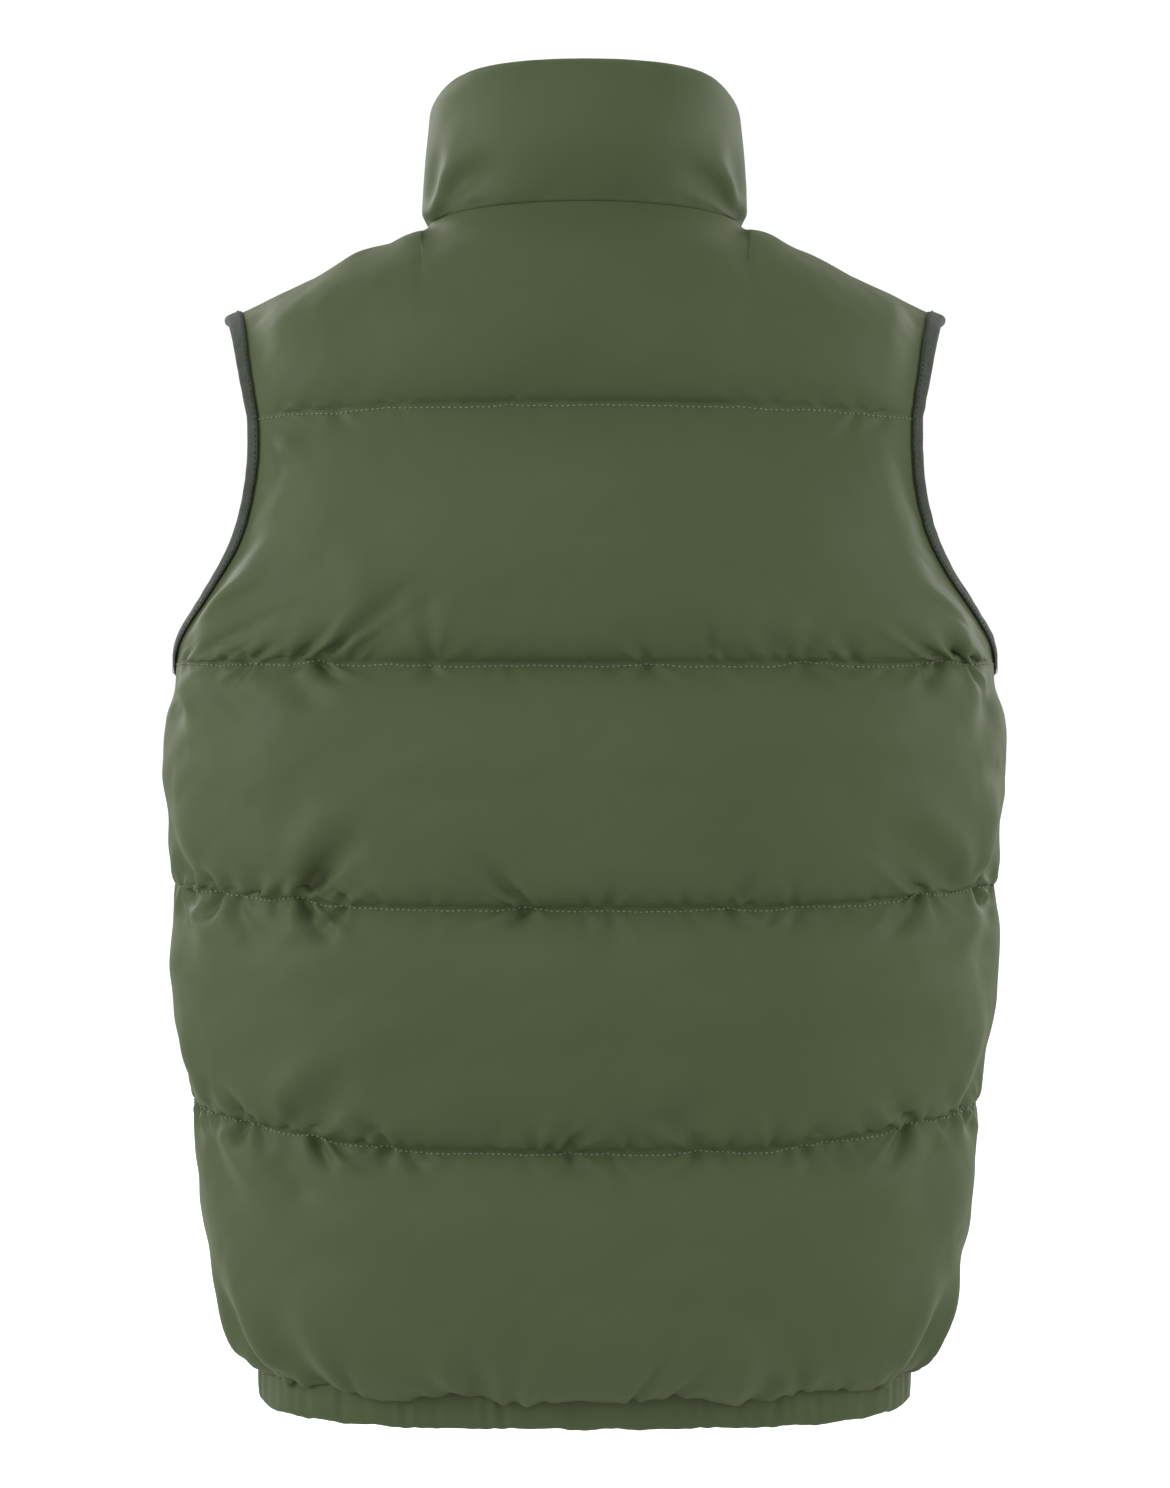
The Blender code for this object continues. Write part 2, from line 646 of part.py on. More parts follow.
def on_zip(height):
    """The centre-front line's point, outward direction and slope at one height."""
    line, outward, slope = zip_line()
    point, out, across = (
        np.array([np.interp(height, line[:, 2], rows[:, k]) for k in range(3)])
        for rows in (line, outward, slope)
    )
    return point, unit(out), across


def tape_section(height, toothed):
    """A tape's section: its teeth or its bare inner edge, then flat, then along the piece it is sewn to."""
    point, out, across = on_zip(height)
    reach = GAP / 2 + (0.0 if toothed else WEDGE_WIDTH / 2 + GAP)
    thin = TAPE_WALL / 2
    thick = TEETH_HALF_WALL if toothed else thin + FLAT_TEETH
    root = reach + TEETH_WIDTH
    half = ((reach, thick), (root, thick), (root + TEETH_SLOPE, thin), (CENTRE_EDGE, thin))
    half += ((TAPE_REACH, thin),)
    section = []
    for x, a in (*half, *((x, -a) for x, a in half[::-1])):
        flat = np.array([min(x, CENTRE_EDGE), 0, 0])
        section.append(point + flat + across * max(x - CENTRE_EDGE, 0) + out * (a - TEETH_CENTRE))
    return section


def build_tapes():
    """Each tape lies behind its front panel's edge. Its teeth end inside the slider, above which its
    inner edge parts round the slider's wedge."""
    line, _, _ = zip_line()
    middle = line[-1, 2] - SLIDER_DROP
    teeth_end, parted = middle + SLIDER_LENGTH * 0.06, middle + SLIDER_LENGTH * 0.14
    top = line[-1, 2] - TAPE_END
    straight = (SECTIONS[3].height, SECTIONS[-1].height)
    rows = [z for k, z in enumerate(line[:, 2]) if k % 2 == 0 or not straight[0] < z < straight[1]]
    heights = [z for z in rows if z < teeth_end - FLANGE / 4] + [teeth_end, parted]
    heights += [z for z in rows if parted + FLANGE / 4 < z < top - FLANGE / 4] + [top]
    sections = np.array([tape_section(z, z <= teeth_end) for z in heights])
    cloth = material("zip_tape", TAPE_CLOTH, 0.75)
    loft("zip_tape_left", sections, cloth)
    loft("zip_tape_right", mirrored(sections), cloth)


def box(size, centre):
    """A block on the zip, by its across, outward and up-the-zip sizes and its centre."""
    bm = bmesh.new()
    bmesh.ops.create_cube(bm, size=1.0)
    bmesh.ops.scale(bm, vec=Vector(size), verts=bm.verts)
    bmesh.ops.translate(bm, vec=Vector(centre), verts=bm.verts)
    return bm


def join_blocks(name, blocks, metal, origin, tilt):
    """One body united from overlapping blocks, set on the zip at its own tilt."""
    whole = mesh_object(name, blocks[0], metal)
    for k, block in enumerate(blocks[1:]):
        cutter = mesh_object(f"{name}_block_{k}", block, metal)
        VEST.objects.unlink(cutter)
        HELPERS.objects.link(cutter)
        cutter.hide_render = True
        cutter.display_type = "WIRE"
        cutter.location = origin
        cutter.rotation_euler.x = tilt
        union = whole.modifiers.new(f"block_{k}", "BOOLEAN")
        union.operation = "UNION"
        union.solver = "EXACT"
        union.object = cutter
    whole.location = origin
    whole.rotation_euler.x = tilt
    whole.data.shade_flat()
    return whole


def slider_place():
    """The slider's middle on the teeth's plane, and the zip's tilt there about X."""
    line, _, _ = zip_line()
    point, outward, _ = on_zip(line[-1, 2] - SLIDER_DROP)
    return point - outward * TEETH_CENTRE, math.atan2(-outward[2], -outward[1])


def build_slider():
    """Local axes on the zip: X across, -Y outward and Z up the zip."""
    origin, tilt = slider_place()
    clear = TEETH_HALF_WALL + GAP
    plate = clear + SLIDER_PLATE / 2
    rim_gap = TAPE_WALL / 2 + GAP
    rim_width = SLIDER_WIDTH / 2 - GAP / 2 - TEETH_WIDTH - 2 * GAP
    rim_height = clear + SLIDER_PLATE / 2 - rim_gap
    rim_x = (SLIDER_WIDTH - rim_width - INSET) / 2
    overlap = SLIDER_PLATE / 2
    blocks = [box((SLIDER_WIDTH, SLIDER_PLATE, SLIDER_LENGTH), (0, -plate, 0))]
    blocks.append(box((SLIDER_WIDTH, SLIDER_PLATE, SLIDER_LENGTH), (0, plate, 0)))
    blocks.append(box((WEDGE_WIDTH, 2 * plate, SLIDER_LENGTH * 0.3), (0, 0, SLIDER_LENGTH * 0.3)))
    for side in (-1, 1):
        for face in (-1, 1):
            rim = (rim_width, rim_height, SLIDER_LENGTH * 0.5)
            blocks.append(box(rim, (side * rim_x, face * (rim_gap + rim_height / 2), -SLIDER_LENGTH * 0.2)))
    bail_out = clear + SLIDER_PLATE + BAIL_WINDOW
    for end in (-1, 1):
        leg = (BAIL_WIDTH - INSET, BAIL_WINDOW + BAIL_WALL / 2 + overlap, BAIL_WALL)
        leg_y = -(bail_out + BAIL_WALL / 2 - leg[1] / 2)
        blocks.append(box(leg, (0, leg_y, end * (BAIL_LENGTH - BAIL_WALL - INSET) / 2)))
    blocks.append(box((BAIL_WIDTH, BAIL_WALL, BAIL_LENGTH), (0, -bail_out - BAIL_WALL / 2, 0)))
    join_blocks("zip_slider", blocks, material("zip_metal", METAL, 0.35, 1.0), origin, tilt)


def build_pull():
    """A flat tab with an eye. Its origin is the middle of the bar that turns under the slider's bail."""
    origin, tilt = slider_place()
    out = TEETH_HALF_WALL + GAP + SLIDER_PLATE + BAIL_WINDOW / 2
    turn = Vector((0, -out, 0))
    turn.rotate(Euler((tilt, 0, 0)))
    top = PULL_BAR / 2
    bm = bmesh.new()
    outer = rounded_outline(PULL_WIDTH, top, top - PULL_LENGTH, PULL_ROUNDING)
    inner = rounded_outline(PULL_EYE_WIDTH, -top, -top - PULL_EYE_LENGTH, PULL_ROUNDING / 2)
    faces = []
    for y in (-PULL_WALL / 2, PULL_WALL / 2):
        loops = [[bm.verts.new((x, y, z)) for x, z in outline] for outline in (outer, inner)]
        edges = [bm.edges.new((loop[k - 1], loop[k])) for loop in loops for k in range(len(loop))]
        bmesh.ops.triangle_fill(bm, use_beauty=True, edges=edges)
        faces.append(loops)
    for front, rear in zip(*faces):
        for k in range(len(front)):
            bm.faces.new((front[k - 1], front[k], rear[k], rear[k - 1]))
    pull = mesh_object("zip_pull", bm, material("zip_metal", METAL, 0.35, 1.0))
    pull.location = Vector(origin) + turn
    pull.rotation_euler.x = tilt
    pull.data.shade_flat()


def rounded_outline(width, top, bottom, radius, steps=3):
    """The points of an upright rectangle with rounded corners, in the plane of the pull tab."""
    points = []
    corners = ((1, top, 0), (-1, top, 90), (-1, bottom, 180), (1, bottom, 270))
    for side, height, start in corners:
        centre_x = side * (width / 2 - radius)
        centre_z = height - radius if height == top else height + radius
        for k in range(steps + 1):
            angle = math.radians(start + 90 * k / steps)
            points.append((centre_x + radius * math.cos(angle), centre_z + radius * math.sin(angle)))
    return points


def build_stops():
    """A clamp on the parted inner edge of each tape, above the slider."""
    origin, tilt = slider_place()
    edge = GAP / 2 + WEDGE_WIDTH / 2 + GAP
    inside = TAPE_WALL / 2 + FLAT_TEETH + GAP
    outside = inside + STOP_WALL
    corners = (
        (edge - GAP - STOP_WALL, outside),
        (edge + STOP_WRAP, outside),
        (edge + STOP_WRAP - LIP_SLOPE, inside),
        (edge - GAP, inside),
        (edge - GAP, -inside),
        (edge + STOP_WRAP - LIP_SLOPE, -inside),
        (edge + STOP_WRAP, -outside),
        (edge - GAP - STOP_WALL, -outside),
    )
    for name, side in (("zip_stop_left", 1), ("zip_stop_right", -1)):
        ends = (STOP_RISE, STOP_RISE + STOP_HEIGHT)
        sections = [[(side * x, -a, height) for x, a in corners] for height in ends]
        stop = loft(name, sections, material("zip_metal", METAL, 0.35, 1.0))
        stop.location = origin
        stop.rotation_euler.x = tilt
        stop.data.shade_flat()


def build_zip_box():
    """The box that holds the lower ends of both rows of teeth: open at its top and at both sides."""
    line, outward, _ = zip_line()
    middle = line[0] - outward[0] * TEETH_CENTRE
    inside = TEETH_HALF_WALL + GAP
    outside = inside + BOX_WALL
    corners = (
        (outside, BOX_HEIGHT),
        (outside, -GAP - BOX_WALL),
        (-outside, -GAP - BOX_WALL),
        (-outside, BOX_HEIGHT),
        (-inside, BOX_HEIGHT - LIP_SLOPE),
        (-inside, -GAP),
        (inside, -GAP),
        (inside, BOX_HEIGHT - LIP_SLOPE),
    )
    sections = [[(x, -a, height) for a, height in corners] for x in (-BOX_WIDTH / 2, BOX_WIDTH / 2)]
    holder = loft("zip_box", sections, material("zip_metal", METAL, 0.35, 1.0))
    holder.location = middle
    holder.data.shade_flat()


def material(name, colour, roughness, metallic=0.0):
    found = bpy.data.materials.get(name)
    if found:
        return found
    made = bpy.data.materials.new(name)
    made.use_nodes = True
    shader = made.node_tree.nodes["Principled BSDF"]
    shader.inputs["Base Color"].default_value = colour
    shader.inputs["Roughness"].default_value = roughness
    shader.inputs["Metallic"].default_value = metallic
    return made


def start_scene():
    for obj in list(bpy.data.objects):
        bpy.data.objects.remove(obj)
    made = []
    for name in ("puffer_vest", "cutters"):
        collection = bpy.data.collections.new(name)
        bpy.context.scene.collection.children.link(collection)
        made.append(collection)
    return made


VEST, HELPERS = start_scene()
build_back()
build_fronts()
build_collar()
build_hem_band()
build_bindings()
build_tapes()
build_slider()
build_pull()
build_stops()
build_zip_box()
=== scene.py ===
"""Puffer vest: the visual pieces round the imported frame, seen from behind.

Metres, +Z up, the front faces -Y. The padded panels start from the vest's own middle surface with
their broad folds, are blown up as pressurised cloth between their seams, and then get their small
puckers on a finer grid.
"""

import math
from collections import namedtuple

import bmesh
import bpy
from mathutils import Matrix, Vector
import numpy as np


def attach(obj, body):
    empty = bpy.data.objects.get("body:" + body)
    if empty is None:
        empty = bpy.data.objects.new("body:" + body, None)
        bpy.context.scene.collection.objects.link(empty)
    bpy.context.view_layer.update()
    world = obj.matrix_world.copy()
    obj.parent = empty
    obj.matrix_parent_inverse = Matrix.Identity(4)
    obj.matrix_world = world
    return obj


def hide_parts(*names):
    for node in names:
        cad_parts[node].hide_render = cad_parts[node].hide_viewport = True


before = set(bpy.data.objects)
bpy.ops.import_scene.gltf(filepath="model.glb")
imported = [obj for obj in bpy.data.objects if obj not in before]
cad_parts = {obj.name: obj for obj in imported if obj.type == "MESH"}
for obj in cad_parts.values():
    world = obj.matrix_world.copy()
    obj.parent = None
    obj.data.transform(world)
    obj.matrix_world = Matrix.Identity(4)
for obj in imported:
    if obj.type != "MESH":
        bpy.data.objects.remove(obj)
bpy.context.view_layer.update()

# ---------------------------------------------------------------- the vest's sizes, as in its source
SEAM_WALL = 0.003
GAP = 0.0003
FLANGE = 0.0075
CENTRE_EDGE = 0.008
BACK_PUFF = 0.018
SIDE_PUFF = 0.006
INNER_SHARE = 0.42

Section = namedtuple("Section", "quilt height half_width back_depth front_depth squareness")
SECTIONS = (
    Section(0.0, -0.653, 0.1865, 0.105, 0.103, 3.1),
    Section(0.1, -0.648, 0.191, 0.110, 0.107, 3.0),
    Section(0.25, -0.630, 0.2005, 0.116, 0.113, 2.8),
    Section(0.5, -0.592, 0.2105, 0.119, 0.116, 2.6),
    Section(1.0, -0.515, 0.2235, 0.121, 0.118, 2.4),
    Section(2.0, -0.384, 0.2345, 0.126, 0.122, 2.35),
    Section(3.0, -0.254, 0.2345, 0.122, 0.119, 2.35),
    Section(3.5, -0.183, 0.2345, 0.116, 0.117, 2.35),
    Section(4.0, -0.112, 0.2345, 0.106, 0.110, 2.35),
)
ARMHOLE_FROM = 3.0
YOKE_FROM = 4.0
TOP = 5.0
UNDERARM_HEIGHT = -0.254
SHOULDER_TIP_HEIGHT = -0.059
ARMHOLE_HALF_DEPTH = 0.058
YOKE_SEAM_ANGLE = math.radians(113.9)
Edge = namedtuple("Edge", "height half_width")
ARMHOLE_EDGE = (
    Edge(-0.254, 0.2345),
    Edge(-0.248, 0.2333),
    Edge(-0.238, 0.2285),
    Edge(-0.220, 0.2165),
    Edge(-0.196, 0.2015),
    Edge(-0.169, 0.1915),
    Edge(-0.127, 0.1875),
    Edge(-0.095, 0.1910),
    Edge(-0.059, 0.2065),
)
NECK_HALF_WIDTH = 0.0895
NECK_BACK_DEPTH = 0.078
NECK_FRONT_DEPTH = 0.094
NECK_BACK_DROP = 0.006
NECK_FRONT_DROP = 0.056
NECK_SHARE = 0.45
Seam = namedtuple("Seam", "x y z")
SHOULDER_SEAM = (
    Seam(0.0895, -0.007, -0.006),
    Seam(0.1180, -0.006, -0.020),
    Seam(0.1480, -0.004, -0.034),
    Seam(0.1800, -0.002, -0.047),
    Seam(0.2065, 0.000, -0.059),
)
YOKE_TURN_CENTRE = {"back": math.radians(62), "front": math.radians(56)}
YOKE_TURN_SHOULDER = math.radians(90)
COLLAR_TOP_HALF_WIDTH = 0.0775
COLLAR_TOP_BACK_DEPTH = 0.071
COLLAR_TOP_FRONT_DEPTH = 0.083
COLLAR_TOP_HEIGHT = {"back": 0.0805, "side": 0.0715, "front": 0.030}
Wall = namedtuple("Wall", "rise outer inner")
COLLAR_WALL = (
    Wall(0.0, 0.0015, 0.0015),
    Wall(0.08, 0.0030, 0.0024),
    Wall(0.20, 0.0060, 0.0050),
    Wall(0.42, 0.0110, 0.0080),
    Wall(0.70, 0.0110, 0.0080),
    Wall(0.88, 0.0085, 0.0065),
    Wall(0.965, 0.0050, 0.0040),
    Wall(1.0, 0.0015, 0.0012),
)
BAND_HEIGHT = 0.0245
BAND_HALF_WALL = 0.0023
BINDING_WALL = 0.0012
BINDING_LIP = 0.0065
LIP_GAP = 0.0012
TAPE_WALL = 0.0008
TAPE_REACH = 0.0135
TAPE_END = 0.0015
TEETH_HALF_WALL = 0.0013
TEETH_WIDTH = 0.003
TEETH_CENTRE = SEAM_WALL / 2 + GAP + TAPE_WALL / 2
SLIDER_LENGTH = 0.0125
SLIDER_DROP = 0.020
WEDGE_WIDTH = 0.0028
FINE = 240

# ---------------------------------------------------------------- grids and the filling's own sizes
CHANNEL_ROWS = 28
ROW_EASE = 0.55
NECK_COLUMNS = 24
SHOULDER_COLUMNS = 30
START_PUFF = 0.88
SIM_FRAMES = 18
MOST_MOTION = 0.007
FINE_ROWS = 2  # fine rows and columns for each one that is simulated
FINE_COLUMNS = 3
SEAM_COURSE = ((0.100, 0.036), (0.050, 0.022))
UNEVEN_FILLING = ((0.0014, 0.10), (0.0008, 0.045))  # how much, and over what length
FOLD_STRENGTH = 1.4
SEAM_GAP = 0.00002  # half the gap that shows at the side and shoulder seams, which are sewn shut
COLLAR_SIDE_WALL = 0.0115
COLLAR_HANG = 0.0065  # how far the collar hangs over the neck seam at its two back corners
STITCHES_BELOW = 0.0018
BINDING_REACH = 0.0028  # how much further in the bindings' stitched edges lie


def smooth_column(table, key, column, at):
    keys = np.array([getattr(row, key) for row in table])
    values = np.array([getattr(row, column) for row in table])
    slopes = np.gradient(values, keys)
    at = np.clip(at, keys[0], keys[-1])
    i = np.clip(np.searchsorted(keys, at, side="right") - 1, 0, len(keys) - 2)
    width = keys[i + 1] - keys[i]
    t = (at - keys[i]) / width
    return (
        (1 + 2 * t) * (1 - t) ** 2 * values[i]
        + t * (1 - t) ** 2 * width * slopes[i]
        + t * t * (3 - 2 * t) * values[i + 1]
        + t * t * (t - 1) * width * slopes[i + 1]
    )


def smooth_step(t):
    t = np.clip(t, 0, 1)
    return t * t * (3 - 2 * t)


def unit(vectors):
    return vectors / np.linalg.norm(vectors, axis=-1, keepdims=True)


def lengths_along(line):
    steps = np.linalg.norm(np.diff(line, axis=0), axis=1)
    return np.concatenate([[0], np.cumsum(steps)])


def at_shares(line, shares):
    along = lengths_along(line)
    return np.stack([np.interp(shares * along[-1], along, line[:, k]) for k in range(3)], axis=1)


def armhole_point(angle, side):
    middle = (UNDERARM_HEIGHT + SHOULDER_TIP_HEIGHT) / 2
    reach = (SHOULDER_TIP_HEIGHT - UNDERARM_HEIGHT) / 2
    height = middle - reach * math.cos(angle)
    out = float(smooth_column(ARMHOLE_EDGE, "height", "half_width", height))
    depth = ARMHOLE_HALF_DEPTH * math.sin(angle) * (1 if side == "back" else -1)
    return np.array([out, depth, height])


def section_line(side, quilt):
    height, wide, depth, square = (
        float(smooth_column(SECTIONS, "quilt", name, quilt))
        for name in ("height", "half_width", side + "_depth", "squareness")
    )
    edge = np.array([wide, 0.0, height])
    if quilt > ARMHOLE_FROM:
        edge = armhole_point(YOKE_SEAM_ANGLE * (quilt - ARMHOLE_FROM), side)
    share = 1 - (abs(edge[1]) / depth) ** square
    oval_width = edge[0] / share ** (1 / square)
    start = 0.0 if side == "back" else math.asin((CENTRE_EDGE / oval_width) ** (square / 2))
    angles = np.linspace(start, math.asin(min(1.0, (edge[0] / oval_width) ** (square / 2))), FINE)
    line = np.zeros((FINE, 3))
    line[:, 0] = oval_width * np.sin(angles) ** (2 / square)
    line[:, 1] = depth * np.maximum(np.cos(angles), 0) ** (2 / square)
    line[:, 1] *= 1 if side == "back" else -1
    along = lengths_along(line)
    line[:, 2] = height + (edge[2] - height) * (along / along[-1]) ** 2
    return line


def neck_ring(angle):
    side_depth = SHOULDER_SEAM[0].y
    back = np.cos(angle) >= 0
    reach = np.where(back, NECK_BACK_DEPTH - side_depth, NECK_FRONT_DEPTH + side_depth)
    behind = NECK_BACK_DROP * (1 - np.cos(angle))
    before = NECK_BACK_DROP + NECK_FRONT_DROP * np.abs(np.cos(angle)) ** 1.5
    drop = np.where(back, behind, before)
    return np.stack([NECK_HALF_WIDTH * np.sin(angle), side_depth + reach * np.cos(angle), -drop], axis=-1)


def neck_angles(side):
    start = 0.0 if side == "back" else math.pi - math.asin(CENTRE_EDGE / NECK_HALF_WIDTH)
    return np.linspace(start, math.pi / 2, FINE)


def shoulder_line():
    x = np.linspace(SHOULDER_SEAM[0].x, SHOULDER_SEAM[-1].x, FINE)
    return np.stack([x, *(smooth_column(SHOULDER_SEAM, "x", name, x) for name in ("y", "z"))], axis=1)


def top_edge(side, across):
    neck = at_shares(neck_ring(neck_angles(side)), np.clip(across / NECK_SHARE, 0, 1))
    shoulder = at_shares(shoulder_line(), np.clip((across - NECK_SHARE) / (1 - NECK_SHARE), 0, 1))
    return np.where((across < NECK_SHARE)[:, None], neck, shoulder)


def yoke_line(side, across, rise):
    low = at_shares(section_line(side, YOKE_FROM), across)
    top = top_edge(side, across)
    more = YOKE_TURN_SHOULDER - YOKE_TURN_CENTRE[side]
    turn = YOKE_TURN_CENTRE[side] + more * np.minimum(across / NECK_SHARE, 1) ** 4
    shares = (
        np.full_like(across, rise),
        (1 - np.cos(rise * turn)) / (1 - np.cos(turn)),
        np.sin(rise * turn) / np.sin(turn),
    )
    return low + (top - low) * np.stack(shares, axis=1)


def seam_course(quilts, across):
    """How far the two lowest quilting lines hang in the middle and rise at the sides, in quilts."""
    low, high = (smooth_step((across - 0.30) / 0.62) * rise - drop for rise, drop in SEAM_COURSE)
    first = np.maximum(0, 1 - np.abs(quilts - 1))
    second = np.maximum(0, 1 - np.abs(quilts - 2))
    return low * first[:, None] + high * second[:, None]


def middle_surface(side, across, quilts):
    made = plain_surface(side, across, quilts)
    if len(quilts) < CHANNEL_ROWS:
        return made
    places = quilts[:, None] + seam_course(quilts, across)
    for column in range(made.shape[1]):
        for k in range(3):
            made[:, column, k] = np.interp(places[:, column], quilts, made[:, column, k])
    return made


def plain_surface(side, across, quilts):
    rows = []
    for quilt, places in zip(quilts, across):
        if quilt <= YOKE_FROM:
            rows.append(at_shares(section_line(side, quilt), places))
        else:
            rows.append(yoke_line(side, places, (quilt - YOKE_FROM) / (TOP - YOKE_FROM)))
    return np.array(rows)


def surface_normals(side, across, quilts):
    small = 1e-3
    left = np.where(across == NECK_SHARE, across, np.maximum(across - small, 0))
    right = np.minimum(across + small, 1)
    low, high = np.maximum(quilts - small, 0), np.minimum(quilts + small, TOP)
    along_row = middle_surface(side, right, quilts) - middle_surface(side, left, quilts)
    up_column = middle_surface(side, across, high) - middle_surface(side, across, low)
    normals = unit(np.cross(up_column, along_row))
    return normals if side == "back" else -normals


def nearest(points, line):
    flat = points.reshape(-1, 3)
    best = np.full(len(flat), np.inf)
    for point in line:
        best = np.minimum(best, ((flat - point) ** 2).sum(1))
    return np.sqrt(best).reshape(points.shape[:-1])


def armhole_line(side):
    return np.array([armhole_point(a, side) for a in np.linspace(0, math.pi, FINE // 2)])


def side_seam_line():
    quilts = np.linspace(0, ARMHOLE_FROM, FINE // 2)
    out, height = (smooth_column(SECTIONS, "quilt", name, quilts) for name in ("half_width", "height"))
    return np.stack([out, np.zeros(len(quilts)), height], axis=1)


def place_on(side, across, quilt):
    return middle_surface(side, np.array([[across]]), np.array([quilt]))[0, 0]


def mirrored(points):
    return points * np.array([-1, 1, 1])


def waves(seed, s, t, size, count=9):
    """Smooth uneven values round 0, about 1 at most, from a few waves of about one size."""
    rng = np.random.default_rng(seed)
    total = np.zeros(np.broadcast(s, t).shape)
    for _ in range(count):
        turn = rng.uniform(0, 2 * math.pi)
        scale = 2 * math.pi / (size * rng.uniform(0.7, 1.5))
        phase = rng.uniform(0, 2 * math.pi)
        total = total + np.sin(scale * (math.cos(turn) * s + math.sin(turn) * t) + phase)
    return total / math.sqrt(count * 1.6)


# ---------------------------------------------------------------- meshes
def new_object(name, points, faces, uv=None, smooth=True):
    mesh = bpy.data.meshes.new(name)
    mesh.from_pydata([tuple(p) for p in points], [], faces)
    if uv is not None:
        layer = mesh.uv_layers.new(name="cloth")
        corner = np.zeros(len(mesh.loops), dtype=np.int32)
        mesh.loops.foreach_get("vertex_index", corner)
        layer.data.foreach_set("uv", np.asarray(uv, dtype=np.float32)[corner].ravel())
    mesh.validate()
    if smooth:
        mesh.shade_smooth()
    obj = bpy.data.objects.new(name, mesh)
    bpy.context.scene.collection.objects.link(obj)
    return obj


def closed_skins(rows, columns, row_ratio=2, column_ratio=2):
    """Faces of a closed solid between a fine outer grid and an inner grid with fewer rows and columns.
    The outer grid's points come first."""
    fine = np.arange(rows * columns).reshape(rows, columns)
    inner_rows, inner_columns = (rows - 1) // row_ratio + 1, (columns - 1) // column_ratio + 1
    coarse = rows * columns + np.arange(inner_rows * inner_columns).reshape(inner_rows, inner_columns)
    faces = []
    for grid, flip in ((fine, False), (coarse, True)):
        a, b, c, d = grid[:-1, :-1], grid[:-1, 1:], grid[1:, 1:], grid[1:, :-1]
        quads = np.stack([a, b, c, d], axis=-1).reshape(-1, 4)
        faces += (quads[:, ::-1] if flip else quads).tolist()
    rims = (
        (fine[0, ::-1], coarse[0, ::-1], column_ratio),
        (fine[:, 0], coarse[:, 0], row_ratio),
        (fine[-1], coarse[-1], column_ratio),
        (fine[::-1, -1], coarse[::-1, -1], row_ratio),
    )
    for edge, back, ratio in rims:
        for k in range(len(back) - 1):
            rim = [*edge[ratio * k : ratio * (k + 1) + 1], back[k + 1], back[k]]
            faces.append([int(i) for i in rim])
    return faces


def finer(grid, times, axis):
    """A grid with more rows or columns, on smooth curves through the ones it has."""
    grid = np.moveaxis(np.asarray(grid, float), axis, 0)
    count = len(grid)
    at = np.arange((count - 1) * times + 1) / times
    i = np.minimum(at.astype(int), count - 2)
    t = (at - i).reshape(-1, *[1] * (grid.ndim - 1))
    before = np.where((i > 0).reshape(t.shape), grid[np.maximum(i - 1, 0)], 2 * grid[i] - grid[i + 1])
    last = np.minimum(i + 2, count - 1)
    after = np.where((i + 2 < count).reshape(t.shape), grid[last], 2 * grid[i + 1] - grid[i])
    low, high = (grid[i + 1] - before) / 2, (after - grid[i]) / 2
    made = (
        (2 * t**3 - 3 * t**2 + 1) * grid[i]
        + (t**3 - 2 * t**2 + t) * low
        + (3 * t**2 - 2 * t**3) * grid[i + 1]
        + (t**3 - t**2) * high
    )
    return np.moveaxis(made, 0, axis)


def tube_faces(count, around, closed):
    """Faces round a row of sections, which may itself close into a ring."""
    faces = []
    for k in range(count if closed else count - 1):
        here, after = k * around, (k + 1) % count * around
        for j in range(around):
            beside = (j + 1) % around
            faces.append((here + j, here + beside, after + beside, after + j))
    return faces


def outward_faces(obj):
    """Turns every face outward, whichever way the grid ran."""
    bm = bmesh.new()
    bm.from_mesh(obj.data)
    bmesh.ops.recalc_face_normals(bm, faces=bm.faces)
    if bm.calc_volume(signed=True) < 0:
        bmesh.ops.reverse_faces(bm, faces=bm.faces)
    bm.to_mesh(obj.data)
    bm.free()


def coordinates(obj):
    co = np.zeros(len(obj.data.vertices) * 3, dtype=np.float32)
    obj.data.vertices.foreach_get("co", co)
    return co.reshape(-1, 3).astype(float)


STIFFNESS = 12.0
BENDING = 1.2
WEIGHT_LEVELS = 20  # a vertex group takes whole sets of points at one weight


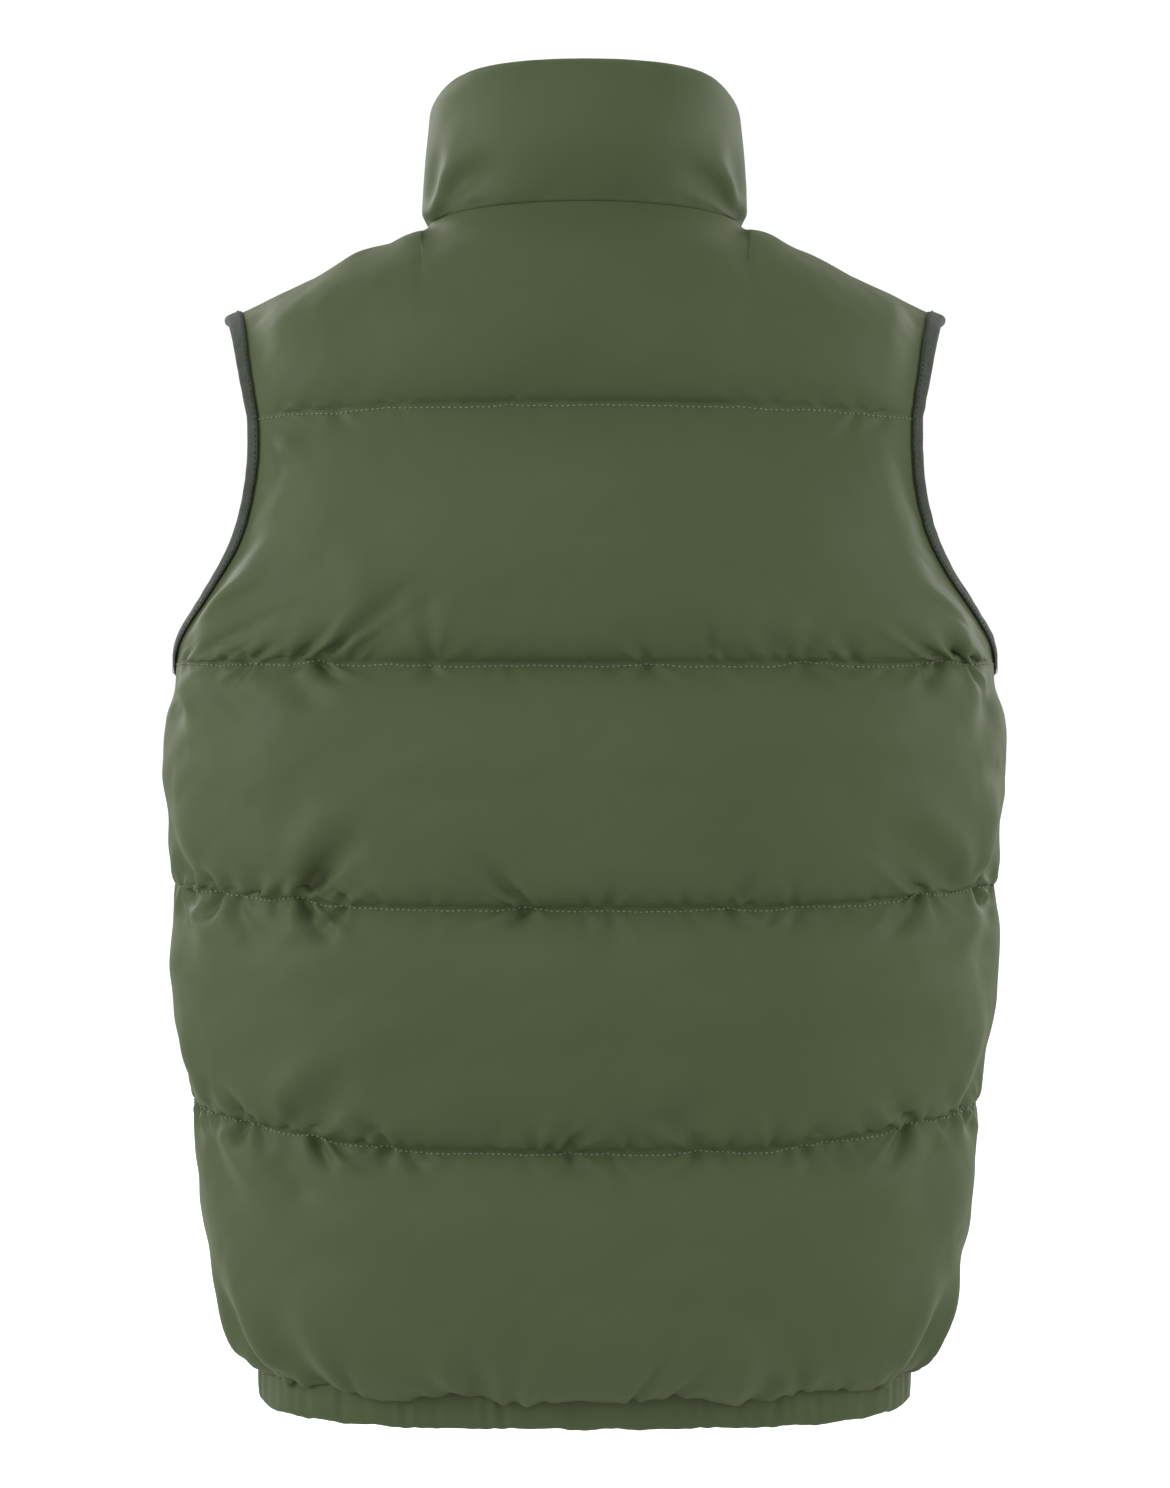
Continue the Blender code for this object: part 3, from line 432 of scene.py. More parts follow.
def inflate(obj, pins, growth, pressure, most):
    """Blows cloth up between its pinned points and keeps the result. growth is each point's extra
    length of cloth, from 0 to 1."""
    start = coordinates(obj)
    pin_group = obj.vertex_groups.new(name="pin")
    growth_group = obj.vertex_groups.new(name="growth")
    for group, weights in ((pin_group, pins), (growth_group, growth)):
        levels = np.round(np.clip(weights, 0, 1) * WEIGHT_LEVELS).astype(int)
        for level in range(1, WEIGHT_LEVELS + 1):
            members = np.flatnonzero(levels == level)
            if len(members):
                group.add(members.tolist(), level / WEIGHT_LEVELS, "REPLACE")
    cloth = obj.modifiers.new("cloth", "CLOTH")
    settings = cloth.settings
    settings.quality = 5
    settings.mass = 0.25
    settings.air_damping = 4.0
    settings.tension_stiffness = settings.compression_stiffness = STIFFNESS
    settings.shear_stiffness = STIFFNESS * 0.4
    settings.bending_stiffness = BENDING
    settings.tension_damping = settings.compression_damping = 12
    settings.shear_damping = 8
    settings.bending_damping = 0.8
    settings.vertex_group_mass = "pin"
    settings.pin_stiffness = 1.0
    settings.vertex_group_shrink = "growth"
    settings.shrink_min = 0.0
    settings.shrink_max = -0.10
    settings.use_pressure = True
    settings.uniform_pressure_force = pressure
    settings.effector_weights.gravity = 0.0
    cloth.point_cache.frame_start = 1
    cloth.point_cache.frame_end = SIM_FRAMES
    scene = bpy.context.scene
    for number in range(1, SIM_FRAMES + 1):
        scene.frame_set(number)
    shown = obj.evaluated_get(bpy.context.evaluated_depsgraph_get())
    moved = np.zeros(len(start) * 3, dtype=np.float32)
    shown.data.vertices.foreach_get("co", moved)
    moved = moved.reshape(-1, 3).astype(float)
    obj.modifiers.remove(cloth)
    scene.frame_set(1)
    motion = moved - start
    size = np.linalg.norm(motion, axis=1, keepdims=True)
    motion *= np.minimum(1, most / np.maximum(size, 1e-9))
    obj.data.vertices.foreach_set("co", (start + motion).astype(np.float32).ravel())
    obj.vertex_groups.clear()
    obj.data.update()


def subdivide(obj):
    smooth = obj.modifiers.new("smooth", "SUBSURF")
    smooth.levels = smooth.render_levels = 1
    smooth.uv_smooth = "PRESERVE_BOUNDARIES"


# ---------------------------------------------------------------- the padded panels
# Broad folds, each a trough between two places of a panel. ridge is the height of the lip above it.
Fold = namedtuple("Fold", "side hand quilt across to_quilt to_across depth width ridge")
FOLDS = (
    # from the underarm and armhole, up and inward
    Fold("back", "left", 3.03, 0.97, 3.52, 0.50, 0.0050, 0.0130, 0.0028),
    Fold("back", "left", 3.04, 0.84, 3.36, 0.46, 0.0036, 0.0100, 0.0022),
    Fold("back", "left", 3.18, 0.99, 3.74, 0.70, 0.0036, 0.0100, 0.0022),
    Fold("back", "left", 3.92, 0.99, 3.74, 0.80, 0.0050, 0.0075, 0.0030),
    Fold("back", "left", 3.60, 0.99, 3.54, 0.84, 0.0032, 0.0070, 0.0018),
    Fold("back", "right", 3.03, 0.97, 3.48, 0.54, 0.0046, 0.0130, 0.0026),
    Fold("back", "right", 3.10, 0.92, 3.64, 0.68, 0.0036, 0.0110, 0.0022),
    Fold("back", "right", 3.52, 0.99, 3.42, 0.78, 0.0030, 0.0080, 0.0018),
    Fold("back", "left", 3.02, 0.40, 3.50, 0.34, 0.0020, 0.0120, 0.0012),
    Fold("back", "right", 3.02, 0.34, 3.42, 0.44, 0.0018, 0.0120, 0.0012),
    # below the underarm
    Fold("back", "left", 2.95, 0.92, 2.66, 0.80, 0.0050, 0.0080, 0.0034),
    Fold("back", "left", 2.97, 0.74, 2.66, 0.58, 0.0034, 0.0110, 0.0018),
    Fold("back", "left", 2.96, 0.55, 2.74, 0.47, 0.0026, 0.0100, 0.0014),
    Fold("back", "right", 2.97, 0.88, 2.58, 0.76, 0.0036, 0.0110, 0.0020),
    # off the corners of the collar
    Fold("back", "left", 4.97, 0.40, 4.62, 0.29, 0.0068, 0.0085, 0.0034),
    Fold("back", "left", 4.99, 0.46, 4.46, 0.58, 0.0032, 0.0130, 0.0018),
    Fold("back", "right", 4.97, 0.39, 4.56, 0.28, 0.0058, 0.0090, 0.0030),
    Fold("back", "right", 4.99, 0.46, 4.56, 0.62, 0.0030, 0.0130, 0.0016),
    # off the quilting seams
    Fold("back", "left", 2.04, 0.52, 2.36, 0.34, 0.0038, 0.0110, 0.0022),
    Fold("back", "left", 2.05, 0.62, 2.50, 0.74, 0.0030, 0.0140, 0.0018),
    Fold("back", "left", 2.04, 0.80, 2.44, 0.92, 0.0040, 0.0120, 0.0022),
    Fold("back", "right", 2.04, 0.72, 2.34, 0.52, 0.0034, 0.0110, 0.0018),
    Fold("back", "right", 2.04, 0.84, 2.46, 0.92, 0.0034, 0.0120, 0.0020),
    Fold("back", "left", 1.04, 0.84, 1.42, 0.94, 0.0042, 0.0120, 0.0026),
    Fold("back", "left", 1.04, 0.56, 1.34, 0.40, 0.0034, 0.0110, 0.0020),
    Fold("back", "right", 1.04, 0.80, 1.42, 0.92, 0.0036, 0.0120, 0.0020),
    Fold("back", "right", 1.04, 0.14, 1.28, 0.26, 0.0026, 0.0100, 0.0014),
    Fold("back", "left", 1.96, 0.86, 1.62, 0.74, 0.0036, 0.0110, 0.0022),
    Fold("back", "left", 1.96, 0.66, 1.70, 0.58, 0.0026, 0.0090, 0.0014),
    Fold("back", "right", 1.96, 0.88, 1.58, 0.76, 0.0034, 0.0110, 0.0020),
    # up from the hem at the sides
    Fold("back", "left", 0.08, 0.70, 0.50, 0.84, 0.0056, 0.0100, 0.0030),
    Fold("back", "left", 0.06, 0.56, 0.40, 0.66, 0.0044, 0.0095, 0.0024),
    Fold("back", "left", 0.10, 0.86, 0.56, 0.94, 0.0050, 0.0095, 0.0026),
    Fold("back", "left", 0.96, 0.80, 0.56, 0.66, 0.0036, 0.0120, 0.0022),
    Fold("back", "left", 0.96, 0.60, 0.68, 0.50, 0.0026, 0.0110, 0.0014),
    Fold("back", "right", 0.08, 0.72, 0.48, 0.82, 0.0050, 0.0100, 0.0028),
    Fold("back", "right", 0.08, 0.88, 0.56, 0.93, 0.0054, 0.0090, 0.0030),
    Fold("back", "right", 0.05, 0.36, 0.34, 0.42, 0.0034, 0.0100, 0.0018),
    Fold("back", "right", 0.96, 0.74, 0.62, 0.62, 0.0032, 0.0120, 0.0018),
    Fold("back", "left", 0.05, 0.24, 0.32, 0.20, 0.0036, 0.0095, 0.0018),
    # the fronts
    Fold("front", "left", 3.04, 0.96, 3.46, 0.52, 0.0048, 0.0125, 0.0026),
    Fold("front", "left", 3.06, 0.84, 3.36, 0.44, 0.0034, 0.0100, 0.0020),
    Fold("front", "left", 4.98, 0.42, 4.54, 0.30, 0.0040, 0.0105, 0.0022),
    Fold("front", "left", 2.04, 0.40, 2.34, 0.54, 0.0036, 0.0110, 0.0020),
    Fold("front", "left", 2.04, 0.82, 2.42, 0.92, 0.0040, 0.0120, 0.0022),
    Fold("front", "left", 2.96, 0.86, 2.62, 0.74, 0.0040, 0.0100, 0.0024),
    Fold("front", "left", 1.04, 0.64, 1.36, 0.50, 0.0034, 0.0110, 0.0020),
    Fold("front", "left", 1.96, 0.80, 1.62, 0.68, 0.0032, 0.0110, 0.0018),
    Fold("front", "left", 0.07, 0.74, 0.48, 0.84, 0.0050, 0.0100, 0.0028),
    Fold("front", "left", 0.07, 0.44, 0.40, 0.50, 0.0040, 0.0095, 0.0022),
    Fold("front", "right", 3.04, 0.96, 3.50, 0.55, 0.0046, 0.0125, 0.0026),
    Fold("front", "right", 3.12, 0.88, 3.62, 0.68, 0.0034, 0.0100, 0.0020),
    Fold("front", "right", 4.98, 0.43, 4.60, 0.26, 0.0038, 0.0105, 0.0020),
    Fold("front", "right", 2.04, 0.56, 2.34, 0.42, 0.0034, 0.0110, 0.0020),
    Fold("front", "right", 2.96, 0.70, 2.66, 0.58, 0.0034, 0.0100, 0.0020),
    Fold("front", "right", 1.04, 0.34, 1.36, 0.46, 0.0034, 0.0110, 0.0018),
    Fold("front", "right", 1.04, 0.84, 1.42, 0.93, 0.0040, 0.0120, 0.0022),
    Fold("front", "right", 0.07, 0.66, 0.46, 0.78, 0.0050, 0.0100, 0.0028),
    Fold("front", "right", 0.06, 0.28, 0.36, 0.24, 0.0038, 0.0095, 0.0020),
)

# The deepest gathers, where the thread has drawn the cloth up: the distance along the seam from the
# middle, how far the seam is pulled up, the depth and the lengths of the creases above and below it.
Tuck = namedtuple("Tuck", "piece seam along lift depth above below slant")
TUCKS = (
    Tuck("back", 3, 0.147, 0.0024, 0.0050, 0.060, 0.016, -0.9),
    Tuck("back", 3, 0.190, 0.0008, 0.0030, 0.030, 0.026, 0.7),
    Tuck("back", 3, 0.084, 0.0006, 0.0022, 0.070, 0.014, 0.25),
    Tuck("back", 3, -0.205, 0.0014, 0.0032, 0.036, 0.022, 0.8),
    Tuck("back", 3, -0.034, 0.0008, 0.0022, 0.026, 0.014, 0.5),
    Tuck("back", 3, -0.120, 0.0008, 0.0026, 0.048, 0.016, -0.5),
    Tuck("back", 2, 0.158, 0.0036, 0.0060, 0.050, 0.030, -0.8),
    Tuck("back", 2, 0.132, 0.0010, 0.0034, 0.026, 0.036, 0.9),
    Tuck("back", 2, 0.031, 0.0022, 0.0052, 0.044, 0.014, 0.9),
    Tuck("back", 2, -0.012, 0.0004, 0.0024, 0.030, 0.040, -0.2),
    Tuck("back", 2, -0.078, 0.0012, 0.0030, 0.034, 0.018, -0.6),
    Tuck("back", 2, -0.192, 0.0028, 0.0046, 0.038, 0.026, 0.9),
    Tuck("back", 2, 0.214, 0.0012, 0.0038, 0.032, 0.028, 0.5),
    Tuck("back", 2, -0.236, 0.0012, 0.0034, 0.030, 0.026, -0.5),
    Tuck("back", 1, 0.152, 0.0022, 0.0046, 0.042, 0.030, -0.7),
    Tuck("back", 1, 0.108, 0.0014, 0.0038, 0.030, 0.022, 0.7),
    Tuck("back", 1, 0.196, 0.0012, 0.0036, 0.034, 0.030, 0.5),
    Tuck("back", 1, -0.062, 0.0010, 0.0030, 0.028, 0.018, 0.6),
    Tuck("back", 1, -0.186, 0.0026, 0.0046, 0.036, 0.030, 0.8),
    Tuck("back", 1, 0.010, 0.0006, 0.0026, 0.026, 0.020, -0.6),
    Tuck("back", 1, -0.120, 0.0008, 0.0028, 0.028, 0.034, -0.4),
    Tuck("front_left", 3, 0.110, 0.0018, 0.0044, 0.050, 0.022, -0.8),
    Tuck("front_left", 3, 0.180, 0.0016, 0.0036, 0.034, 0.024, 0.6),
    Tuck("front_left", 2, 0.060, 0.0016, 0.0044, 0.040, 0.018, 0.8),
    Tuck("front_left", 2, 0.150, 0.0026, 0.0050, 0.042, 0.028, -0.7),
    Tuck("front_left", 1, 0.095, 0.0016, 0.0040, 0.034, 0.024, -0.7),
    Tuck("front_left", 1, 0.180, 0.0020, 0.0042, 0.036, 0.026, 0.7),
    Tuck("front_right", 3, 0.075, 0.0014, 0.0036, 0.040, 0.020, 0.8),
    Tuck("front_right", 3, 0.160, 0.0020, 0.0042, 0.044, 0.022, -0.7),
    Tuck("front_right", 2, 0.100, 0.0018, 0.0044, 0.040, 0.020, -0.8),
    Tuck("front_right", 2, 0.190, 0.0020, 0.0044, 0.036, 0.028, 0.6),
    Tuck("front_right", 1, 0.050, 0.0014, 0.0036, 0.034, 0.022, 0.7),
    Tuck("front_right", 1, 0.140, 0.0022, 0.0044, 0.040, 0.026, -0.6),
)

# For each seam from the hem up: the reach of the small puckers above and below it, how far apart they
# are, how deep, and how far the channel above hangs over it in the middle and at the sides.
Pleats = namedtuple("Pleats", "above below spacing depth hang side_hang")
PLEATS = (
    Pleats(0.060, 0.0, 0.016, 0.0040, 0.0, 0.0),
    Pleats(0.040, 0.034, 0.014, 0.0034, 0.0012, 0.0056),
    Pleats(0.040, 0.034, 0.014, 0.0034, 0.0012, 0.0056),
    Pleats(0.040, 0.030, 0.014, 0.0030, 0.0010, 0.0044),
    Pleats(0.020, 0.024, 0.016, 0.0012, 0.0002, 0.0008),
    Pleats(0.0, 0.024, 0.016, 0.0012, 0.0, 0.0),
)
FOOT_SCALE, FOOT_POWER = 0.0085, 0.85
HEAD_SCALE, HEAD_POWER = 0.021, 1.25


def trough(points, start, end, depth, width, ridge):
    """How far a soft crease lowers each point: a rounded bottom and a lip on its upper side."""
    along = end - start
    length = np.linalg.norm(along)
    place = ((points - start) @ along) / length**2
    held = np.clip(place, 0, 1)
    offset = points - start - held[..., None] * along
    away = np.linalg.norm(offset, axis=-1)
    upper = smooth_step(offset[..., 2] / (0.5 * width) + 0.5)
    ends = smooth_step(place / 0.22 + 0.35) * smooth_step((1.0 - place) / 0.60 + 0.02)
    spread = width * (0.75 + 0.7 * held)
    low = np.exp(-((away / spread) ** 2))
    lip = np.exp(-(((away - 1.7 * spread) / (0.9 * spread)) ** 2)) * upper
    return ends * (depth * low - ridge * lip)


def crease(s, up, centre, width, reach, depth, slant):
    """One pucker off a seam: narrow and sharp at the seam, wider and softer away from it."""
    share = np.abs(up) / reach
    body = smooth_step(share / 0.08 + 0.25) * (1 - smooth_step((share - 0.06) / 0.94)) ** 1.3
    spread = width * (0.45 + 2.0 * share)
    off = (s - centre - slant * np.abs(up)) / spread
    low = 1 / (1 + np.abs(off) ** 2.4)
    lips = 0.45 * np.exp(-(((np.abs(off) - 2.1) / 0.9) ** 2))
    return depth * body * (low - lips)


def eased_places(count, ease=ROW_EASE):
    t = np.linspace(0, 1, count + 1)
    return (1 - ease) * t + ease * (0.5 - 0.5 * np.cos(math.pi * t))


def row_quilts():
    places = eased_places(CHANNEL_ROWS)[:-1]
    return np.concatenate([k + places for k in range(int(TOP))] + [[TOP]])


def column_shares(side):
    near = np.linspace(0, 1, NECK_COLUMNS + 1)[:-1]
    if side == "front":
        near = near**1.25
    far = 1 - (1 - np.linspace(0, 1, SHOULDER_COLUMNS + 1)) ** 1.2
    return np.concatenate([near * NECK_SHARE, NECK_SHARE + (1 - NECK_SHARE) * far])


def seam_distances(t, quilts):
    """How far each point is from the seam below it and the seam above it."""
    channel = np.minimum(quilts.astype(int), int(TOP) - 1)
    return t - t[channel * CHANNEL_ROWS], t[(channel + 1) * CHANNEL_ROWS] - t


def half_panel(side, hand, seed):
    """Half a panel on the left: its two skins with the broad folds, and what is known of each point:
    its place in metres along the cloth, how freely it may fill out, its pin and its growth."""
    quilts = row_quilts()
    shares = column_shares(side)
    across = np.tile(shares, (len(quilts), 1))
    points = middle_surface(side, across, quilts)
    normals = surface_normals(side, across, quilts)
    corner = np.flatnonzero(shares == NECK_SHARE)[0]
    normals[-1, corner] = unit(normals[-1, corner - 1] + normals[-1, corner + 1])
    s = np.pad(np.cumsum(np.linalg.norm(np.diff(points, axis=1), axis=2), axis=1), ((0, 0), (1, 0)))
    t = np.pad(np.cumsum(np.linalg.norm(np.diff(points, axis=0), axis=2), axis=0), ((1, 0), (0, 0)))
    upward = unit(np.gradient(points, axis=0))
    signed = s if hand == "left" else -s

    channel = np.minimum(quilts.astype(int), int(TOP) - 1)
    below, above = seam_distances(t, quilts)
    foot = 1 - np.exp(-((below / FOOT_SCALE) ** FOOT_POWER))
    head = 1 - np.exp(-((above / HEAD_SCALE) ** HEAD_POWER))
    crown = foot * head
    height = SIDE_PUFF + (BACK_PUFF - SIDE_PUFF) * np.cos(across * math.pi / 2)
    puff = crown * height * START_PUFF
    for k, (uneven, size) in enumerate(UNEVEN_FILLING):
        puff = puff + crown * uneven * waves(seed + k, signed, t, size)
    from_top = np.where((quilts > 4)[:, None] & (shares >= NECK_SHARE)[None], above, 1.0)
    puff *= 0.20 + 0.80 * smooth_step(from_top / 0.070)
    corner_distance = np.linalg.norm(points - points[-1, corner], axis=-1)
    puff *= 0.1 + 0.9 * smooth_step(corner_distance / 0.045)
    from_yoke = np.abs(t - t[4 * CHANNEL_ROWS])
    puff *= 0.62 + 0.38 * smooth_step(from_yoke / 0.045)

    edge_side = nearest(points, side_seam_line())
    edge_arm = nearest(points, armhole_line(side))
    edge_neck = nearest(points, neck_ring(neck_angles(side)))
    from_centre = np.abs(points[..., 0]) - CENTRE_EDGE
    ease = smooth_step((edge_side - FLANGE / 3) / 0.026)
    ease *= smooth_step((edge_arm - FLANGE - BINDING_REACH) / 0.026)
    ease *= smooth_step(edge_neck / 0.040) * 0.85 + 0.15
    if side == "front":
        ease *= smooth_step((from_centre - FLANGE) / 0.026)
    lower = np.zeros_like(puff)
    for fold in FOLDS:
        if (fold.side, fold.hand) == (side, hand):
            start = place_on(side, fold.across, fold.quilt)
            end = place_on(side, fold.to_across, fold.to_quilt)
            lower += FOLD_STRENGTH * trough(points, start, end, fold.depth, fold.width, fold.ridge)
    puff = np.maximum(puff - lower * np.minimum(1, 1.6 * crown), 0.12 * puff) * ease

    # the hem's channel hangs over the band in scallops
    place = quilts - channel
    scallop = np.clip(0.55 + 0.45 * waves(seed + 9, signed, 0 * s, 0.075, count=4), 0, 1.2)
    hem_foot = (smooth_step(place / 0.10) * (1 - smooth_step((place - 0.12) / 0.36)))[:, None]
    down = (channel == 0)[:, None] * hem_foot * (0.0020 + 0.0120 * scallop)
    at_side = quilts <= ARMHOLE_FROM
    points[at_side, -1, 1] += SEAM_GAP if side == "back" else -SEAM_GAP
    on_shoulder = shares >= NECK_SHARE
    points[-1, on_shoulder, 1] += SEAM_GAP if side == "back" else -SEAM_GAP
    border = np.zeros_like(puff, dtype=bool)
    border[[0, -1]] = True
    border[:, -1] = True
    if side == "front":
        border[:, 0] = True
    down = np.where(border, 0, down * ease)
    outer = points - down[..., None] * upward + normals * (SEAM_WALL / 2 + puff)[..., None]
    inner = points - normals * (SEAM_WALL / 2 + puff * INNER_SHARE)[..., None]

    pins = np.zeros_like(puff)
    for seam in range(1, int(TOP)):
        pins[[seam * CHANNEL_ROWS - 1, seam * CHANNEL_ROWS]] = 1
    pins[border] = 1
    at_arm = 1 - smooth_step((edge_arm - FLANGE * 0.8 - BINDING_REACH) / 0.005)
    pins = np.maximum(pins, at_arm * (quilts > 3)[:, None])
    if side == "front":
        pins = np.maximum(pins, 1 - smooth_step((from_centre - FLANGE * 0.8) / 0.005))
    side_share = smooth_step((across - 0.35) / 0.5)
    near_seam = 1 - smooth_step(np.minimum(below, above) / 0.040)
    growth = 0.16 + 0.34 * near_seam * (0.35 + 0.65 * side_share)
    growth *= 0.35 + 0.65 * smooth_step(from_yoke / 0.06)
    growth *= smooth_step(corner_distance / 0.045) * (0.15 + 0.85 * smooth_step(from_top / 0.060))
    free = ease * smooth_step(edge_side / 0.010) if side == "front" else ease
    return {
        "outer": outer,
        "inner": inner,
        "s": signed,
        "t": t,
        "pins": pins,
        "growth": growth,
        "free": free,
        "arm": edge_arm + (quilts <= 3)[:, None],
    }


def joined_halves(right, left):
    """The whole back from its two halves."""
    whole = {}
    for key in left:
        other = mirrored(right[key]) if left[key].ndim == 3 else right[key]
        whole[key] = np.concatenate([other[:, :0:-1], left[key]], axis=1)
    return whole


def fine_relief(piece, seed, s, t, free, arm):
    """The small puckers: how far they lower the fine grid's points, and how far the seams wander and
    the channels hang down over them."""
    rows = CHANNEL_ROWS * FINE_ROWS
    rng = np.random.default_rng(seed)
    lower, lift, hang = np.zeros_like(s), np.zeros_like(s), np.zeros_like(s)
    for seam, pleats in enumerate(PLEATS):
        along = s[seam * rows][None, :]
        up = t - t[seam * rows][None, :]
        side = smooth_step((np.abs(along) / np.abs(along).max() - 0.30) / 0.55)
        uneven = waves(seed + 70 + seam, along, 0 * along, 0.05, count=6)
        quick = waves(seed + 80 + seam, along, 0 * along, 0.017, count=6)
        for reach, above in ((pleats.above, True), (pleats.below, False)):
            centre = along.min() + rng.uniform(0, pleats.spacing)
            while reach and centre < along.max():
                size = rng.uniform(0.25, 1.25) ** 1.7
                strength = 0.42 + 0.85 * float(np.interp(centre, along[0], side[0]))
                near = np.abs(along[0] - centre) < 0.060
                made = crease(
                    along[:, near],
                    up[:, near],
                    centre,
                    rng.uniform(0.0026, 0.0046) * (0.7 + 0.4 * size),
                    reach * rng.uniform(0.40, 1.10) * (0.5 + 0.5 * size),
                    pleats.depth * size * strength * (1.0 if above else 0.7),
                    rng.uniform(-0.8, 0.8),
                )
                lower[:, near] += made * ((up[:, near] > 0) if above else (up[:, near] < 0))
                centre += pleats.spacing * rng.uniform(0.45, 1.8)
        lift += (0.0007 * uneven + 0.0004 * quick) * np.exp(-((up / 0.010) ** 2)) * (pleats.hang > 0)
        most = pleats.hang + (pleats.side_hang - pleats.hang) * side
        curve = smooth_step(up / 0.0050) * (1 - smooth_step((up - 0.0050) / 0.034)) * (up > 0)
        hang += most * (1 + 0.30 * uneven + 0.22 * quick) * curve
    for tuck in TUCKS:
        if tuck.piece != piece:
            continue
        along = s[tuck.seam * rows][None, :]
        up = t - t[tuck.seam * rows][None, :]
        centre = tuck.along if piece != "front_right" else -tuck.along
        for reach, above in ((tuck.above, True), (tuck.below, False)):
            made = crease(along, up, centre, 0.0046, reach, tuck.depth, tuck.slant)
            lower += made * ((up > 0) if above else (up < 0))
        near = np.exp(-(((along - centre) / 0.011) ** 2)) * np.exp(-((up / 0.011) ** 2))
        lift += tuck.lift * near
        hang -= np.clip(0.8 * hang, 0, 0.003) * near
    pulls = np.maximum(waves(seed + 31, t, 0 * t, 0.016, count=5), -0.2)
    lower += 0.0024 * pulls * np.exp(-(((arm - 0.016) / 0.007) ** 2))
    if piece != "back":
        pulls = np.maximum(waves(seed + 37, t, 0 * t, 0.014, count=5), -0.2)
        lower += 0.0013 * pulls * np.exp(-(((np.abs(s) - 0.016) / 0.008) ** 2))
    rough = waves(seed + 43, s, t, 0.022, count=12)
    lower += 0.00022 * rough
    return lower * free, lift * free, hang * free


def softened_corners(fine, t, rounds=40):
    """The grid with the fold below each corner of the neck made soft."""
    columns = np.arange(fine.shape[1])
    middle = 0 if fine.shape[1] < 2 * FINE_COLUMNS * (NECK_COLUMNS + SHOULDER_COLUMNS) else columns[-1] // 2
    off = np.abs(np.abs(columns - middle) - FINE_COLUMNS * NECK_COLUMNS)
    from_top = t[-1][None] - t
    weight = (1 - smooth_step(off / 26))[None] * (1 - smooth_step((from_top - 0.02) / 0.07))
    weight = (weight * smooth_step(from_top / 0.006))[:, 1:-1, None]
    fine = fine.copy()
    for _ in range(rounds):
        fine[:, 1:-1] += 0.5 * weight * ((fine[:, 2:] + fine[:, :-2]) / 2 - fine[:, 1:-1])
    return fine


def padded_panel(name, side, hands, seed):
    """One closed padded piece: blown up as cloth, then given its small puckers on a finer grid."""
    halves = {hand: half_panel(side, hand, seed) for hand in hands}
    if side == "back":
        known = joined_halves(halves["right"], halves["left"])
    else:
        known = halves[hands[0]]
        if hands[0] == "right":
            known = {key: mirrored(v) if v.ndim == 3 else v for key, v in known.items()}
    outer, inner = known["outer"], known["inner"][::2, ::2]
    rows, columns = outer.shape[:2]
    points = np.concatenate([outer.reshape(-1, 3), inner.reshape(-1, 3)])
    bag = new_object(name + "_bag", points, closed_skins(rows, columns))
    outward_faces(bag)
    count = rows * columns
    pins, growth = np.ones(len(points)), np.zeros(len(points))
    pins[:count], growth[:count] = known["pins"].ravel(), known["growth"].ravel()
    inflate(bag, pins, growth, 3.2, MOST_MOTION)
    outer = coordinates(bag)[:count].reshape(rows, columns, 3)
    bpy.data.objects.remove(bag)

    fine = finer(finer(outer, FINE_ROWS, 0), FINE_COLUMNS, 1)
    s, t, free, arm = (
        finer(finer(known[key], FINE_ROWS, 0), FINE_COLUMNS, 1) for key in ("s", "t", "free", "arm")
    )
    free = np.clip(free, 0, 1)
    fine = softened_corners(fine, t)
    normals = unit(np.cross(np.gradient(fine, axis=1), np.gradient(fine, axis=0)))
    if np.sum(normals[..., 1]) * (1 if side == "back" else -1) < 0:
        normals = -normals
    upward = unit(np.gradient(fine, axis=0))
    lower, lift, hang = fine_relief(name.replace("_padded", ""), seed, s, t, free, arm)
    fine = fine - normals * lower[..., None] + upward * (lift - hang)[..., None]
    rows, columns = fine.shape[:2]
    points = np.concatenate([fine.reshape(-1, 3), inner.reshape(-1, 3)])
    uv = np.stack([s, t], axis=-1)
    row_ratio, column_ratio = 2 * FINE_ROWS, 2 * FINE_COLUMNS
    uvs = np.concatenate([uv.reshape(-1, 2), uv[::row_ratio, ::column_ratio].reshape(-1, 2)])
    obj = new_object(name, points, closed_skins(rows, columns, row_ratio, column_ratio), uvs)
    outward_faces(obj)
    return obj, fine, normals


# ---------------------------------------------------------------- collar and hem band
def edge_frames(quilt):
    """Fine points, normals and directions off the panels round the hem joint or the neck seam, from
    the left zip edge round the back to the right one."""
    halves = {}
    for side in ("back", "front"):
        across = column_shares(side)
        across = across[across <= NECK_SHARE][None] if quilt == TOP else across[None]
        row = np.array([quilt])
        halves[side] = (
            middle_surface(side, across, row)[0],
            surface_normals(side, across, row)[0],
        )
    joined = []
    for k in (0, 1):
        front, back = halves["front"][k], halves["back"][k]
        left = np.concatenate([front[:-1], back[::-1]])
        joined.append(np.concatenate([left, mirrored(left[-2::-1])]))
    points, normals = joined
    corner = len(halves["front"][0]) - 1
    for k in (corner, len(points) - 1 - corner):
        normals[k] = unit(normals[k - 1] + normals[k + 1])
    down = unit(np.cross(np.gradient(points, axis=0), normals))
    return points, normals, -down if quilt == TOP else down


def zip_ease(points):
    beside = np.abs(points[:, 0]) - CENTRE_EDGE - FLANGE
    return np.where(points[:, 1] < 0, smooth_step(beside / 0.026), 1.0)


